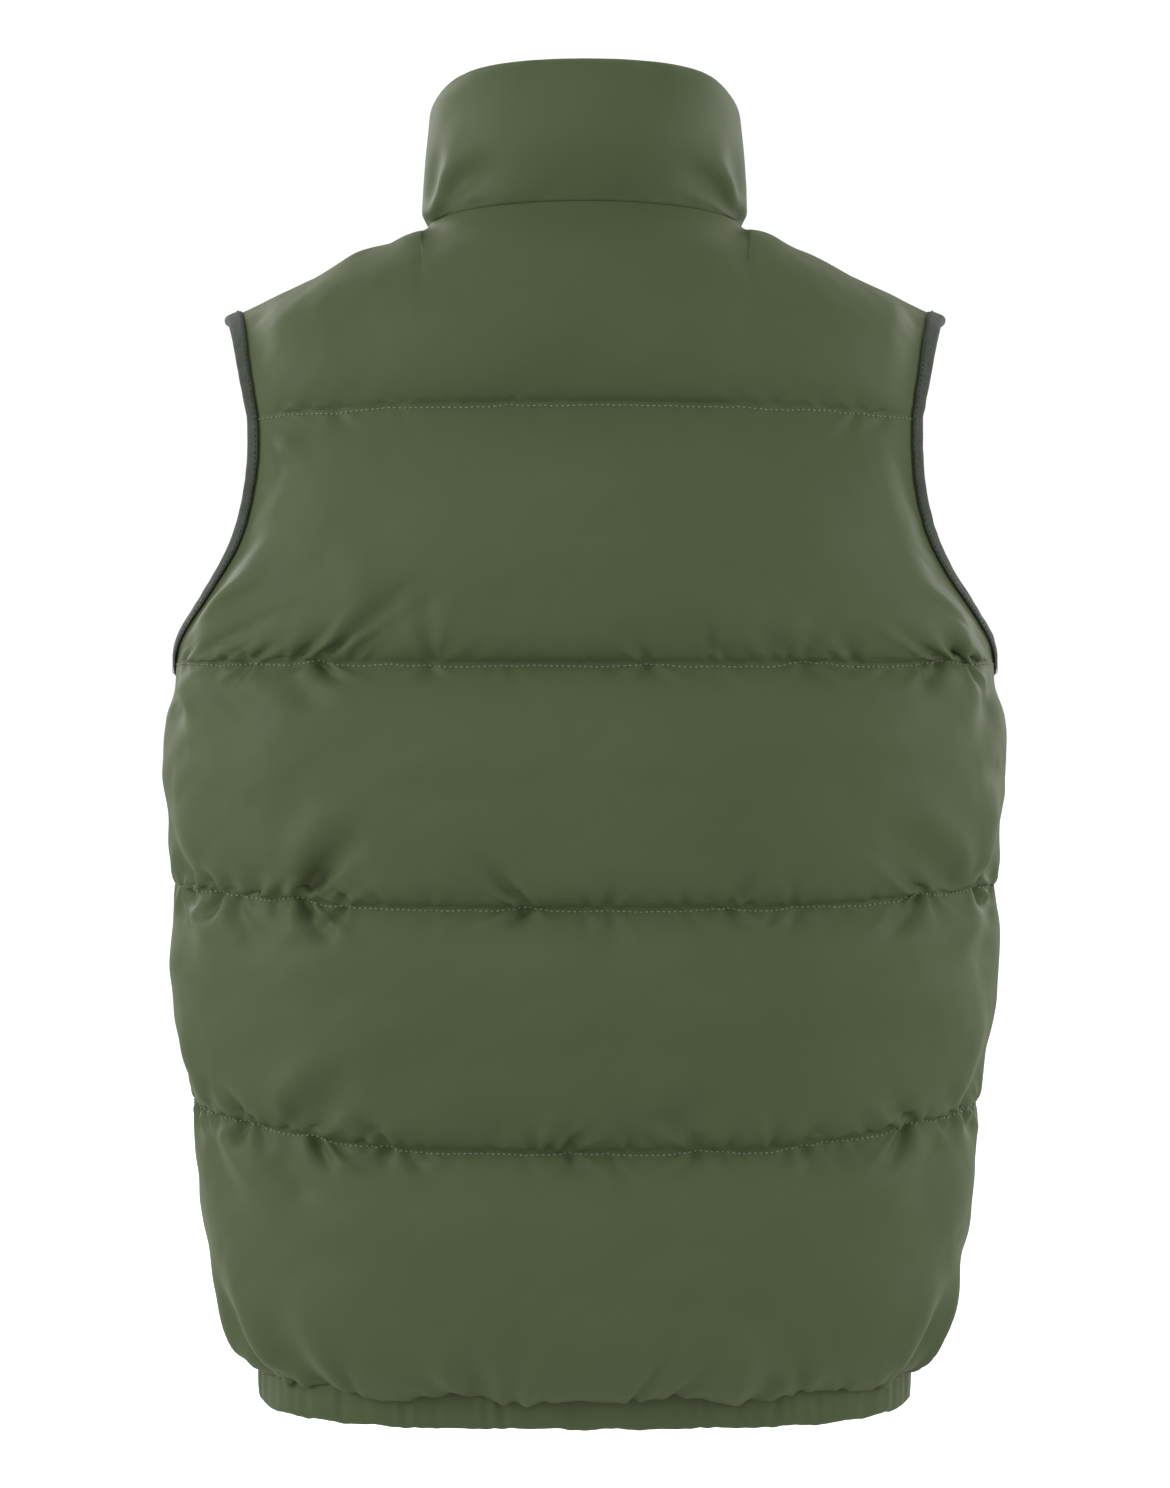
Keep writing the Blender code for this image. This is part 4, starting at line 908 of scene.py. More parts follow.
def collar_top(points):
    angle = np.arctan2(
        points[:, 0] / NECK_HALF_WIDTH,
        np.where(
            points[:, 1] > SHOULDER_SEAM[0].y,
            (points[:, 1] - SHOULDER_SEAM[0].y) / (NECK_BACK_DEPTH - SHOULDER_SEAM[0].y),
            (points[:, 1] - SHOULDER_SEAM[0].y) / (NECK_FRONT_DEPTH + SHOULDER_SEAM[0].y),
        ),
    )
    back, side, front = (COLLAR_TOP_HEIGHT[name] for name in ("back", "side", "front"))
    forward = np.cos(angle)
    height = np.where(
        forward > 0,
        side + (back - side) * np.abs(forward) * (2 - np.abs(forward)),
        side + (front - side) * np.abs(forward) ** 1.6,
    )
    centre = (COLLAR_TOP_BACK_DEPTH - COLLAR_TOP_FRONT_DEPTH) / 2
    depth = (COLLAR_TOP_BACK_DEPTH + COLLAR_TOP_FRONT_DEPTH) / 2
    edge = np.abs(points[:, 0]) <= CENTRE_EDGE * 1.01
    x = np.where(edge & (forward < 0), points[:, 0], COLLAR_TOP_HALF_WIDTH * np.sin(angle))
    return np.stack([x, centre + depth * forward, height], axis=1)


# Creases of the collar between two places: the share round the ring from the left zip edge and the rise.
CollarFold = namedtuple("CollarFold", "turn rise to_turn to_rise depth width ridge")
COLLAR_FOLDS = (
    CollarFold(0.288, 0.03, 0.372, 0.11, 0.0095, 0.0042, 0.0034),
    CollarFold(0.330, 0.14, 0.420, 0.30, 0.0050, 0.0060, 0.0022),
    CollarFold(0.345, 0.10, 0.395, 0.52, 0.0030, 0.0080, 0.0012),
    CollarFold(0.300, 0.12, 0.330, 0.55, 0.0026, 0.0080, 0.0010),
    CollarFold(0.712, 0.03, 0.640, 0.17, 0.0090, 0.0044, 0.0032),
    CollarFold(0.670, 0.12, 0.590, 0.28, 0.0046, 0.0060, 0.0020),
    CollarFold(0.655, 0.08, 0.610, 0.50, 0.0030, 0.0080, 0.0012),
    CollarFold(0.700, 0.12, 0.675, 0.58, 0.0026, 0.0080, 0.0010),
    CollarFold(0.580, 0.97, 0.555, 0.66, 0.0022, 0.0090, 0.0008),
    CollarFold(0.440, 0.97, 0.455, 0.74, 0.0018, 0.0090, 0.0006),
    CollarFold(0.120, 0.12, 0.180, 0.46, 0.0028, 0.0080, 0.0010),
    CollarFold(0.060, 0.90, 0.110, 0.60, 0.0022, 0.0080, 0.0008),
    CollarFold(0.880, 0.12, 0.830, 0.50, 0.0028, 0.0080, 0.0010),
    CollarFold(0.945, 0.88, 0.900, 0.58, 0.0020, 0.0080, 0.0008),
)


def ring_place(rings, turn, rise, rises):
    """A place on the collar's middle surface."""
    column = turn * (rings.shape[1] - 1)
    k = int(np.clip(column, 0, rings.shape[1] - 2))
    line = rings[:, k] * (1 - column + k) + rings[:, k + 1] * (column - k)
    return np.array([np.interp(rise, rises, line[:, axis]) for axis in range(3)])


COLLAR_GROWTH = 0.22  # the collar's spare cloth, as in inflate


def build_collar():
    """The padded stand collar: its piece, its outer skin's points and its outward directions."""
    base, base_normals, up = edge_frames(TOP)
    base = base + up * GAP
    top = collar_top(base)
    outward = unit(np.cross(np.gradient(base, axis=0), top - base))
    rises = eased_places(22, 0.4)
    ease = zip_ease(base)
    rings, normals = [], []
    for rise in rises:
        rings.append(base + (top - base) * rise)
        turn = float(smooth_step(rise / 0.10))
        normals.append(unit(base_normals * (1 - turn) + outward * turn))
    rings, normals = np.array(rings), np.array(normals)
    row_steps = np.linalg.norm(np.diff(rings, axis=1), axis=2)
    s = np.concatenate([np.zeros((len(rises), 1)), np.cumsum(row_steps, axis=1)], axis=1)
    t = np.linalg.norm(rings - rings[0], axis=2)
    wall = np.array(
        [[smooth_column(COLLAR_WALL, "rise", name, rise) for name in ("outer", "inner")] for rise in rises]
    )
    edge = SEAM_WALL / 2
    least = np.minimum(wall, edge)
    at_side = smooth_step((np.abs(base[:, 0]) / NECK_HALF_WIDTH - 0.55) / 0.35)
    full = smooth_step(rises / 0.09) * np.sqrt(np.clip((1 - rises) / 0.16, 0, 1)) * (0.50 + 0.50 * rises)
    outer_wall = wall[:, :1] * (1 - at_side) + COLLAR_SIDE_WALL * full[:, None] * at_side
    outer_wall = least[:, :1] + np.maximum(outer_wall - least[:, :1], 0) * ease[None] * 0.97
    inner_wall = least[:, 1:] + (wall[:, 1:] - least[:, 1:]) * ease[None]
    lower = np.zeros_like(outer_wall)
    for fold in COLLAR_FOLDS:
        start = ring_place(rings, fold.turn, fold.rise, rises)
        end = ring_place(rings, fold.to_turn, fold.to_rise, rises)
        lower += trough(rings, start, end, fold.depth, fold.width, fold.ridge)
    rng = np.random.default_rng(17)
    for row, reach in ((0, 0.020), (-1, 0.014)):
        along, off = s[row][None], t - t[row][None]
        centre = rng.uniform(0, 0.02)
        while centre < s[row, -1]:
            lower += crease(
                along,
                off,
                centre,
                rng.uniform(0.0035, 0.0060),
                reach * rng.uniform(0.5, 1.2),
                0.0010 * rng.uniform(0.3, 1.2),
                rng.uniform(-0.6, 0.6),
            )
            centre += rng.uniform(0.012, 0.032)
    lower -= 0.0007 * waves(23, s, t, 0.07)
    edges = np.zeros_like(outer_wall, dtype=bool)
    edges[[0, -1]] = True
    edges[:, [0, -1]] = True
    puff = outer_wall - least[:, :1]
    puff = np.where(edges, 0, np.maximum(puff - lower * ease[None], 0.15 * puff))
    outer = rings + normals * (least[:, :1] + puff)[..., None]
    share = s[0] / s[0, -1]
    at_corner = np.exp(-(((share - 0.318) / 0.030) ** 2)) + 0.8 * np.exp(-(((share - 0.682) / 0.030) ** 2))
    low = smooth_step(rises / 0.07) * (1 - smooth_step((rises - 0.09) / 0.34))
    outer = outer - unit(top - base)[None] * (COLLAR_HANG * low[:, None] * at_corner[None])[..., None]
    inner = (rings - normals * inner_wall[..., None])[::2, ::2]
    shape = outer.shape[:2]
    uv = np.stack([s, t], axis=-1)
    points = np.concatenate([outer.reshape(-1, 3), inner.reshape(-1, 3)])
    uvs = np.concatenate([uv.reshape(-1, 2), uv[::2, ::2].reshape(-1, 2)])
    obj = new_object("collar_padded", points, closed_skins(*shape), uvs)
    outward_faces(obj)
    pins = np.zeros(shape)
    pins[[0, 1, -1]] = 1
    pins[:, [0, 1, -2, -1]] = 1
    pins = np.maximum(pins, 1 - ease[None])
    count = shape[0] * shape[1]
    all_pins, all_growth = np.ones(len(points)), np.zeros(len(points))
    all_pins[:count] = pins.ravel()
    all_growth[:count] = COLLAR_GROWTH
    inflate(obj, all_pins, all_growth, 1.6, 0.0020)
    return obj, coordinates(obj)[:count].reshape(*shape, 3), normals


def interp_rows(at, along, rows):
    """Points or directions at given lengths along a line of them."""
    return np.stack([np.interp(at, along, rows[:, k]) for k in range(rows.shape[1])], axis=-1)


def resample(line, count, *others):
    along = lengths_along(line)
    at = np.linspace(0, along[-1], count)
    return [at, *(interp_rows(at, along, rows) for rows in (line, *others))]


BAND_COLUMNS = 760
BAND_DROPS = (0.0, 0.0012, 0.0040, 0.0072, 0.0105, 0.0138, 0.0170, 0.0200, 0.0224, 0.0239, BAND_HEIGHT)


def build_hem_band():
    """The elastic band: a doubled strip with fine, uneven upright gathers."""
    joint, joint_normals, down = edge_frames(0.0)
    ease = zip_ease(joint)[:, None]
    s, joint, joint_normals, down, ease = resample(joint, BAND_COLUMNS, joint_normals, down, ease)
    ease = ease[:, 0]
    joint_normals = unit(joint_normals)
    top = joint + unit(down) * GAP
    level = unit(joint_normals * np.array([1, 1, 0]))
    drops = np.array(BAND_DROPS)
    fine = waves(41, s, 0 * s, 0.0064, count=7)
    broad = waves(43, s, 0 * s, 0.021, count=5)
    strength = 0.65 + 0.35 * np.clip(waves(47, s, 0 * s, 0.12, count=4), -1, 1)
    outer, inner = [], []
    for k, drop in enumerate(drops):
        share = drop / BAND_HEIGHT
        lean = waves(53 + k // 3, s, 0 * s, 0.05, count=4) * 0.0006
        gather = np.interp(s + lean, s, fine) * 0.00085 * strength + broad * 0.0007
        gather = gather * ease * math.sin(math.pi * min(0.12 + share * 0.80, 1.0)) ** 0.7
        wall = BAND_HALF_WALL if 0.1 < share < 0.93 else (SEAM_WALL / 2 if share <= 0.1 else 0.0012)
        if share >= 0.999:
            wall = 0.0004
        crown = 0.0006 * math.sin(math.pi * share)
        hem_wave = np.zeros_like(s) if k == 0 else (0.0007 * broad + 0.0003 * fine) * ease * share
        ring = top if k == 0 else joint - np.array([0, 0, 1.0]) * (drop - hem_wave)[:, None]
        out = joint_normals if k == 0 else level
        if k == 0:
            gather = 0 * gather
        outer.append(ring + out * (wall + crown + gather)[:, None])
        inner.append(ring - out * (wall - 0.6 * gather)[:, None])
    profile = np.array(outer + inner[::-1])
    rows, count = profile.shape[:2]
    faces = []
    for r in range(rows):
        after = (r + 1) % rows
        for c in range(count - 1):
            faces.append((r * count + c, r * count + c + 1, after * count + c + 1, after * count + c))
    for c in (0, count - 1):
        strip = [r * count + c for r in range(rows)]
        half = rows // 2
        for k in range(half - 1):
            faces.append((strip[k], strip[k + 1], strip[rows - 2 - k], strip[rows - 1 - k]))
    along = np.tile(s, (rows, 1))
    heights = np.concatenate([drops, -drops[::-1]])[:, None] + 0 * along
    uv = np.stack([along, -heights], axis=-1).reshape(-1, 2)
    obj = new_object("hem_band_gathered", profile.reshape(-1, 3), faces, uv)
    outward_faces(obj)
    return obj


# ---------------------------------------------------------------- armhole bindings
def normal_on(side, across, quilt):
    return surface_normals(side, np.array([[across]]), np.array([quilt]))[0, 0]


def slide_over(side, across, quilt, target, rounds=4, small=0.002):
    for _ in range(rounds):
        here = place_on(side, across, quilt)
        side_step = -small if across > 0.5 else small
        up_step = -small if quilt > TOP / 2 else small
        slopes = np.stack(
            [
                (place_on(side, across + side_step, quilt) - here) / side_step,
                (place_on(side, across, quilt + up_step) - here) / up_step,
            ],
            axis=1,
        )
        move = np.linalg.lstsq(slopes, target - here, rcond=None)[0]
        across = min(across + move[0], 1.0)
        quilt = min(quilt + move[1], TOP)
    return across, quilt


BINDING_STOPS = 15  # on each channel's edge


def armhole_ring():
    """The armhole's edge, the line a lip's width in from it, and the directions at both."""
    quilts = np.concatenate([3 + eased_places(BINDING_STOPS, 0.3)[:-1], 4 + eased_places(BINDING_STOPS, 0.3)])
    stops = [("back", q) for q in quilts] + [("front", q) for q in quilts[-2:0:-1]]
    edge = np.array([place_on(side, 1.0, q) for side, q in stops])
    edge_normal = np.array([normal_on(side, 1.0, q) for side, q in stops])
    for k in (0, len(quilts) - 1):
        edge_normal[k] = unit(edge_normal[k] + normal_on("front", 1.0, stops[k][1]))
    along = np.roll(edge, -1, axis=0) - np.roll(edge, 1, axis=0)
    into = unit(np.cross(edge_normal, along))
    lip, lip_normal = [], []
    for k, (side, quilt) in enumerate(stops):
        place = slide_over(side, 1.0, quilt, edge[k] - into[k] * BINDING_LIP)
        lip.append(place_on(side, *place))
        lip_normal.append(normal_on(side, *place))
    for k in (0, len(quilts) - 1):
        lip_normal[k] = edge_normal[k]
    return edge, edge_normal, np.array(lip), np.array(lip_normal), into


def ring_resample(count, *rows):
    """Closed rings of points or directions as smooth closed rings of evenly spaced ones."""
    line = np.concatenate([rows[0], rows[0][:1]])
    along = lengths_along(line)
    at = np.linspace(0, along[-1], count, endpoint=False)
    out = []
    for ring in rows:
        closed = np.concatenate([ring[-3:], ring, ring[:4]])
        keys = np.concatenate([along[-4:-1] - along[-1], along[:-1], along[:4] + along[-1]])
        out.append(np.stack([catmull(keys, closed[:, k], at) for k in range(3)], axis=1))
    return at, out


def catmull(keys, values, at):
    i = np.clip(np.searchsorted(keys, at, side="right") - 1, 1, len(keys) - 3)
    width = keys[i + 1] - keys[i]
    t = (at - keys[i]) / width
    low = (values[i + 1] - values[i - 1]) / (keys[i + 1] - keys[i - 1]) * width
    high = (values[i + 2] - values[i]) / (keys[i + 2] - keys[i]) * width
    return (
        (2 * t**3 - 3 * t**2 + 1) * values[i]
        + (t**3 - 2 * t**2 + t) * low
        + (3 * t**2 - 2 * t**3) * values[i + 1]
        + (t**3 - t**2) * high
    )


def build_bindings():
    """A folded strip round each armhole, lying a little uneven where it follows the puckers."""
    at, (edge, edge_normal, lip, lip_normal, into) = ring_resample(420, *armhole_ring())
    edge_normal, lip_normal, into = unit(edge_normal), unit(lip_normal), unit(into)
    inside = SEAM_WALL / 2 + GAP
    outside = inside + BINDING_WALL
    lip_inside = SEAM_WALL / 2 + LIP_GAP * 0.45
    lip_outside = lip_inside + BINDING_WALL
    fold = GAP + BINDING_WALL
    made = []
    for hand, seed in (("left", 61), ("right", 67)):
        wave = waves(seed, at, 0 * at, 0.030, count=5)
        ruck = waves(seed + 1, at, 0 * at, 0.0075, count=5)
        swell = (0.00025 * wave + 0.00012 * ruck)[:, None]
        lip_shift = (0.0006 * wave + 0.0002 * ruck)[:, None] - BINDING_REACH
        mid, mid_normal = (edge + lip) / 2, unit(edge_normal + lip_normal)
        puffed = 0.0005
        corners = (
            (lip, lip_normal, lip_shift, lip_outside),
            (mid, mid_normal, 0, (outside + lip_outside) / 2 + puffed + swell),
            (edge, edge_normal, fold * 0.1, outside + puffed * 0.6 + swell),
            (edge, edge_normal, fold * 0.8, inside * 0.85 + swell),
            (edge, edge_normal, fold * 1.05, 0),
            (edge, edge_normal, fold * 0.8, -inside * 0.85 - swell),
            (edge, edge_normal, fold * 0.1, -outside - puffed * 0.6 - swell),
            (mid, mid_normal, 0, -(outside + lip_outside) / 2 - puffed - swell),
            (lip, lip_normal, lip_shift, -lip_outside),
            (lip, lip_normal, lip_shift, -lip_inside),
            (mid, mid_normal, 0, -(inside + lip_inside) / 2),
            (edge, edge_normal, GAP, -inside),
            (edge, edge_normal, GAP, inside),
            (mid, mid_normal, 0, (inside + lip_inside) / 2),
            (lip, lip_normal, lip_shift, lip_inside),
        )
        sections = [place + normal * out + into * turn for place, normal, turn, out in corners]
        sections = np.stack(sections, axis=1)
        if hand == "right":
            sections = mirrored(sections)
        faces = tube_faces(*sections.shape[:2], closed=True)
        width = np.concatenate([[0], np.cumsum(np.linalg.norm(np.diff(sections[0], axis=0), axis=1))])
        uv = np.stack(np.broadcast_arrays(at[:, None], width[None]), axis=-1).reshape(-1, 2)
        obj = new_object(f"binding_strip_{hand}", sections.reshape(-1, 3), faces, uv)
        outward_faces(obj)
        subdivide(obj)
        stitch_line = lip + into * (0.0016 - BINDING_REACH) + lip_normal * (lip_outside + 0.00025)
        stitch_line = mirrored(stitch_line) if hand == "right" else stitch_line
        made.append((obj, stitch_line))
    return made


# ---------------------------------------------------------------- small joined things
def strokes(name, lines, length, gap, thick):
    """Stitches along lines of points and normals: small rounded strokes joined as one mesh."""
    shape = np.array(
        [
            (-0.5, 0, 0.15),
            (-0.28, 0.5, 0.2),
            (-0.28, -0.5, 0.2),
            (-0.28, 0, 0.85),
            (0.28, 0.5, 0.2),
            (0.28, -0.5, 0.2),
            (0.28, 0, 0.85),
            (0.5, 0, 0.15),
            (-0.28, 0, -0.3),
            (0.28, 0, -0.3),
        ]
    )
    sides = [(0, 2, 3), (0, 3, 1), (0, 1, 8), (0, 8, 2), (7, 6, 5), (7, 4, 6), (7, 9, 4), (7, 5, 9)]
    sides += [(1, 3, 6, 4), (3, 2, 5, 6), (8, 1, 4, 9), (2, 8, 9, 5)]
    points, faces = [], []
    for line, normals in lines:
        along = lengths_along(line)
        count = int(along[-1] / (length + gap))
        at = (np.arange(count) + 0.5) * (along[-1] / count)
        centre, ahead, behind = (interp_rows(at + step, along, line) for step in (0, 0.001, -0.001))
        forward = unit(ahead - behind)
        up = unit(interp_rows(at, along, normals))
        sideways = unit(np.cross(up, forward))
        for k in range(count):
            base = len(points)
            for x, y, z in shape:
                point = centre[k] + forward[k] * x * length
                points.append(point + sideways[k] * y * thick + up[k] * z * thick)
            faces += [tuple(base + i for i in face) for face in sides]
    obj = new_object(name, points, faces)
    outward_faces(obj)
    return obj


def zip_lines():
    """The centre-front line from the hem to the collar's top, its outward directions and the slopes
    of the pieces beside it."""
    places = (0.0, 0.1, 0.32, 0.62, 0.88)
    quilts = np.array(sorted([k + p for k in range(int(TOP)) for p in places] + [TOP, 3.2, 3.45, 3.78, 4.47]))
    beside = np.tile([0.0, 0.024], (len(quilts), 1))
    panel = middle_surface("front", beside, quilts)
    base, _, up = edge_frames(TOP)
    base = base + up * GAP
    top = collar_top(base)
    rises = [wall.rise for wall in COLLAR_WALL[1:]]
    collar = np.array([(base + (top - base) * rise)[:2] for rise in rises])
    band = np.array([panel[0] - np.array([0, 0, drop]) for drop in (0.0245, 0.0220, 0.0120)])
    pairs = np.concatenate([band, panel, collar])
    across = pairs[:, 1] - pairs[:, 0]
    line = pairs[:, 0] * np.array([0, 1, 1])
    upward = unit(np.gradient(line, axis=0))
    outward = np.stack([upward[:, 0], -upward[:, 2], upward[:, 1]], axis=1)
    return line, outward, across / across[:, :1]


def build_zip():
    """Tapes with a woven edge, and one row of moulded teeth on each."""
    line, outward, slope = zip_lines()
    middle = line[-1, 2] - SLIDER_DROP
    top = line[-1, 2] - TAPE_END
    parted_from, parted_to = middle + SLIDER_LENGTH * 0.05, middle + SLIDER_LENGTH * 0.18
    heights = np.arange(line[0, 2], top, 0.003)
    heights = np.append(heights[:-1], top)
    pieces = []
    for hand, sign in (("left", 1), ("right", -1)):
        sections = []
        for z in heights:
            point, out, across = (interp_rows(z, line[:, 2], rows) for rows in (line, outward, slope))
            out = unit(out)
            part = float(smooth_step((z - parted_from) / (parted_to - parted_from)))
            reach = GAP / 2 + 0.0012 + (WEDGE_WIDTH / 2 + GAP - 0.0006) * part
            half = TAPE_WALL / 2
            xs = (reach, reach + 0.0008, 0.0050, CENTRE_EDGE, 0.0110, TAPE_REACH)
            section = []
            for x, a in (*((x, half) for x in xs), *((x, -half) for x in xs[::-1])):
                flat = np.array([min(x, CENTRE_EDGE), 0, 0])
                section.append(point + flat + across * max(x - CENTRE_EDGE, 0) + out * (a - TEETH_CENTRE))
            sections.append(section)
        sections = np.array(sections) * np.array([sign, 1, 1])
        count, around = sections.shape[:2]
        faces = tube_faces(count, around, closed=False)
        for k in (0, count - 1):
            for j in range(around // 2 - 1):
                faces.append(tuple(k * around + i for i in (j, j + 1, around - 2 - j, around - 1 - j)))
        width = np.array([*xs, *(2 * TAPE_REACH - x for x in xs[::-1])])
        uv = np.stack(np.broadcast_arrays(width[None], heights[:, None]), axis=-1).reshape(-1, 2)
        tape = new_object(f"tape_woven_{hand}", sections.reshape(-1, 3), faces, uv)
        outward_faces(tape)
        teeth = build_teeth(hand, sign, line, outward, middle)
        pieces.append((tape, teeth))
    return pieces


TOOTH_PITCH = 0.0026
TOOTH_HEIGHT = 0.00165


def build_teeth(hand, sign, line, outward, middle):
    """Moulded teeth: a body clamped on the tape and a narrower head that reaches over the middle."""
    along = lengths_along(line)
    start = 0.0010 + (TOOTH_PITCH / 2 if sign < 0 else 0)
    stop = np.interp(middle + SLIDER_LENGTH * 0.02, line[:, 2], along)
    tooth = bmesh.new()
    bmesh.ops.create_cube(tooth, size=1.0)
    for vert in tooth.verts:
        narrow = 0.62 if vert.co.x < 0 else 1.0
        vert.co.z *= narrow
    bmesh.ops.bevel(
        tooth,
        geom=list(tooth.edges),
        offset=0.16,
        segments=1,
        affect="EDGES",
        profile=0.6,
        offset_type="OFFSET",
    )
    shape = np.array([v.co[:] for v in tooth.verts])
    order = {v: i for i, v in enumerate(tooth.verts)}
    sides = [[order[v] for v in f.verts] for f in tooth.faces]
    tooth.free()
    points, faces = [], []
    for a in np.arange(start, stop, TOOTH_PITCH):
        centre, out = (interp_rows(a, along, rows) for rows in (line, outward))
        ahead = interp_rows(a + 0.001, along, line)
        out, up = unit(out), unit(ahead - centre)
        base = len(points)
        low, high = -0.0004, TEETH_WIDTH
        for x, y, z in shape:
            across = (low + high) / 2 + x * (high - low)
            point = centre + np.array([1, 0, 0]) * across + up * z * TOOTH_HEIGHT
            points.append(point + out * (y * 2 * TEETH_HALF_WALL * 0.97 - TEETH_CENTRE))
        faces += [tuple(base + i for i in side) for side in sides]
    obj = new_object(f"zip_teeth_{hand}", np.array(points) * np.array([sign, 1, 1]), faces, smooth=False)
    outward_faces(obj)
    return obj


# ---------------------------------------------------------------- materials
def shader_tree(name, **sockets):
    material = bpy.data.materials.new(name)
    material.use_nodes = True
    tree = material.node_tree
    shader = tree.nodes["Principled BSDF"]
    for socket, value in sockets.items():
        shader.inputs[socket.replace("_", " ")].default_value = value
    return material, tree, shader


def node(tree, kind, **values):
    made = tree.nodes.new(kind)
    for name, value in values.items():
        if name in made.inputs:
            made.inputs[name].default_value = value
        else:
            setattr(made, name, value)
    return made


def maths(tree, operation, a, b=None):
    made = tree.nodes.new("ShaderNodeMath")
    made.operation = operation
    for socket, value in zip(made.inputs, (a, b)):
        if value is None:
            continue
        if isinstance(value, (int, float)):
            socket.default_value = value
        else:
            tree.links.new(value, socket)
    return made.outputs[0]


def uv_axes(tree):
    uv = tree.nodes.new("ShaderNodeUVMap")
    uv.uv_map = "cloth"
    split = tree.nodes.new("ShaderNodeSeparateXYZ")
    tree.links.new(uv.outputs[0], split.inputs[0])
    return uv.outputs[0], split.outputs[0], split.outputs[1]


def noise(tree, vector, scale, detail=2.0, roughness=0.5):
    made = node(tree, "ShaderNodeTexNoise", Scale=scale, Detail=detail, Roughness=roughness)
    tree.links.new(vector, made.inputs["Vector"])
    return made.outputs["Fac"]


def ramp(tree, fac, low, high, at=(0.0, 1.0)):
    made = tree.nodes.new("ShaderNodeValToRGB")
    made.color_ramp.elements[0].color = (*low, 1)
    made.color_ramp.elements[1].color = (*high, 1)
    made.color_ramp.elements[0].position, made.color_ramp.elements[1].position = at
    tree.links.new(fac, made.inputs[0])
    return made.outputs[0]


def bump(tree, shader, height, strength, distance, normal=None):
    made = node(tree, "ShaderNodeBump", Strength=strength, Distance=distance)
    tree.links.new(height, made.inputs["Height"])
    if normal is not None:
        tree.links.new(normal, made.inputs["Normal"])
    tree.links.new(made.outputs[0], shader.inputs["Normal"])
    return made.outputs[0]


def coloured(tree, shader, fac, low, high, at=(0.0, 1.0)):
    tree.links.new(ramp(tree, fac, low, high, at), shader.inputs["Base Color"])


def roughened(tree, shader, fac, amount, least):
    rough = maths(tree, "ADD", maths(tree, "MULTIPLY", fac, amount), least)
    tree.links.new(rough, shader.inputs["Roughness"])


def ridges(tree, along, pitch):
    """A height that rises and falls once in each pitch."""
    return maths(tree, "SINE", maths(tree, "MULTIPLY", along, 2 * math.pi / pitch))


def weave(tree, x, y, pitch):
    """The height of a plain weave with its threads along both axes."""
    return maths(tree, "MULTIPLY", ridges(tree, x, pitch), ridges(tree, y, pitch))


def shell_material():
    """Closely woven matt nylon: even olive with faint shade differences and small soft creases."""
    material, tree, shader = shader_tree(
        "shell_nylon", Roughness=0.58, Sheen_Weight=0.07, Sheen_Roughness=0.45, Specular_IOR_Level=0.21
    )
    shader.inputs["Sheen Tint"].default_value = (0.84, 0.92, 0.52, 1)
    position = node(tree, "ShaderNodeTexCoord").outputs["Object"]
    vector, x, y = uv_axes(tree)
    broad = noise(tree, position, 7.0, 3.0)
    fine = noise(tree, vector, 900.0, 1.0)
    shade = maths(tree, "ADD", maths(tree, "MULTIPLY", broad, 0.75), maths(tree, "MULTIPLY", fine, 0.25))
    coloured(tree, shader, shade, (0.0690, 0.0915, 0.0395), (0.0790, 0.1035, 0.0455), (0.30, 0.70))
    roughened(tree, shader, noise(tree, position, 22.0, 3.0), 0.12, 0.50)
    creases = noise(tree, position, 60.0, 4.0, 0.55)
    first = bump(tree, shader, creases, 0.16, 0.0016)
    threads = maths(tree, "ADD", maths(tree, "MULTIPLY", weave(tree, x, y, 0.0011), 0.6), fine)
    bump(tree, shader, threads, 0.10, 0.0002, first)
    return material


def binding_material():
    """Ribbed elastic tape, greyer than the shell."""
    material, tree, shader = shader_tree(
        "binding_tape", Roughness=0.78, Sheen_Weight=0.2, Sheen_Roughness=0.5, Specular_IOR_Level=0.25
    )
    vector, x, y = uv_axes(tree)
    threads = maths(tree, "MULTIPLY", ridges(tree, y, 0.0009), 0.4)
    threads = maths(tree, "ADD", ridges(tree, x, 0.0013), threads)
    dusty = noise(tree, vector, 160.0, 3.0)
    shade = maths(tree, "ADD", maths(tree, "MULTIPLY", threads, 0.10), dusty)
    coloured(tree, shader, shade, (0.029, 0.038, 0.026), (0.049, 0.061, 0.043), (0.30, 0.75))
    bump(tree, shader, threads, 0.45, 0.0003)
    return material


def tape_material():
    """Herringbone tape with raised cords along it."""
    material, tree, shader = shader_tree(
        "zip_tape_weave", Roughness=0.74, Sheen_Weight=0.15, Sheen_Roughness=0.5, Specular_IOR_Level=0.25
    )
    vector, x, y = uv_axes(tree)
    herring = ridges(tree, maths(tree, "ADD", x, y), 0.0009)
    threads = maths(tree, "ADD", herring, ridges(tree, x, 0.0012))
    shade = maths(tree, "ADD", maths(tree, "MULTIPLY", threads, 0.08), noise(tree, vector, 240.0, 2.0))
    coloured(tree, shader, shade, (0.040, 0.053, 0.031), (0.064, 0.080, 0.048), (0.30, 0.75))
    bump(tree, shader, threads, 0.4, 0.0003)
    return material


def teeth_material():
    """Moulded plastic with slightly dulled faces."""
    material, tree, shader = shader_tree("zip_teeth_plastic", Roughness=0.38, Specular_IOR_Level=0.5)
    position = node(tree, "ShaderNodeTexCoord").outputs["Object"]
    dull = noise(tree, position, 400.0, 3.0)
    coloured(tree, shader, dull, (0.038, 0.050, 0.030), (0.056, 0.070, 0.043))
    roughened(tree, shader, dull, 0.25, 0.26)
    bump(tree, shader, dull, 0.1, 0.0001)
    return material


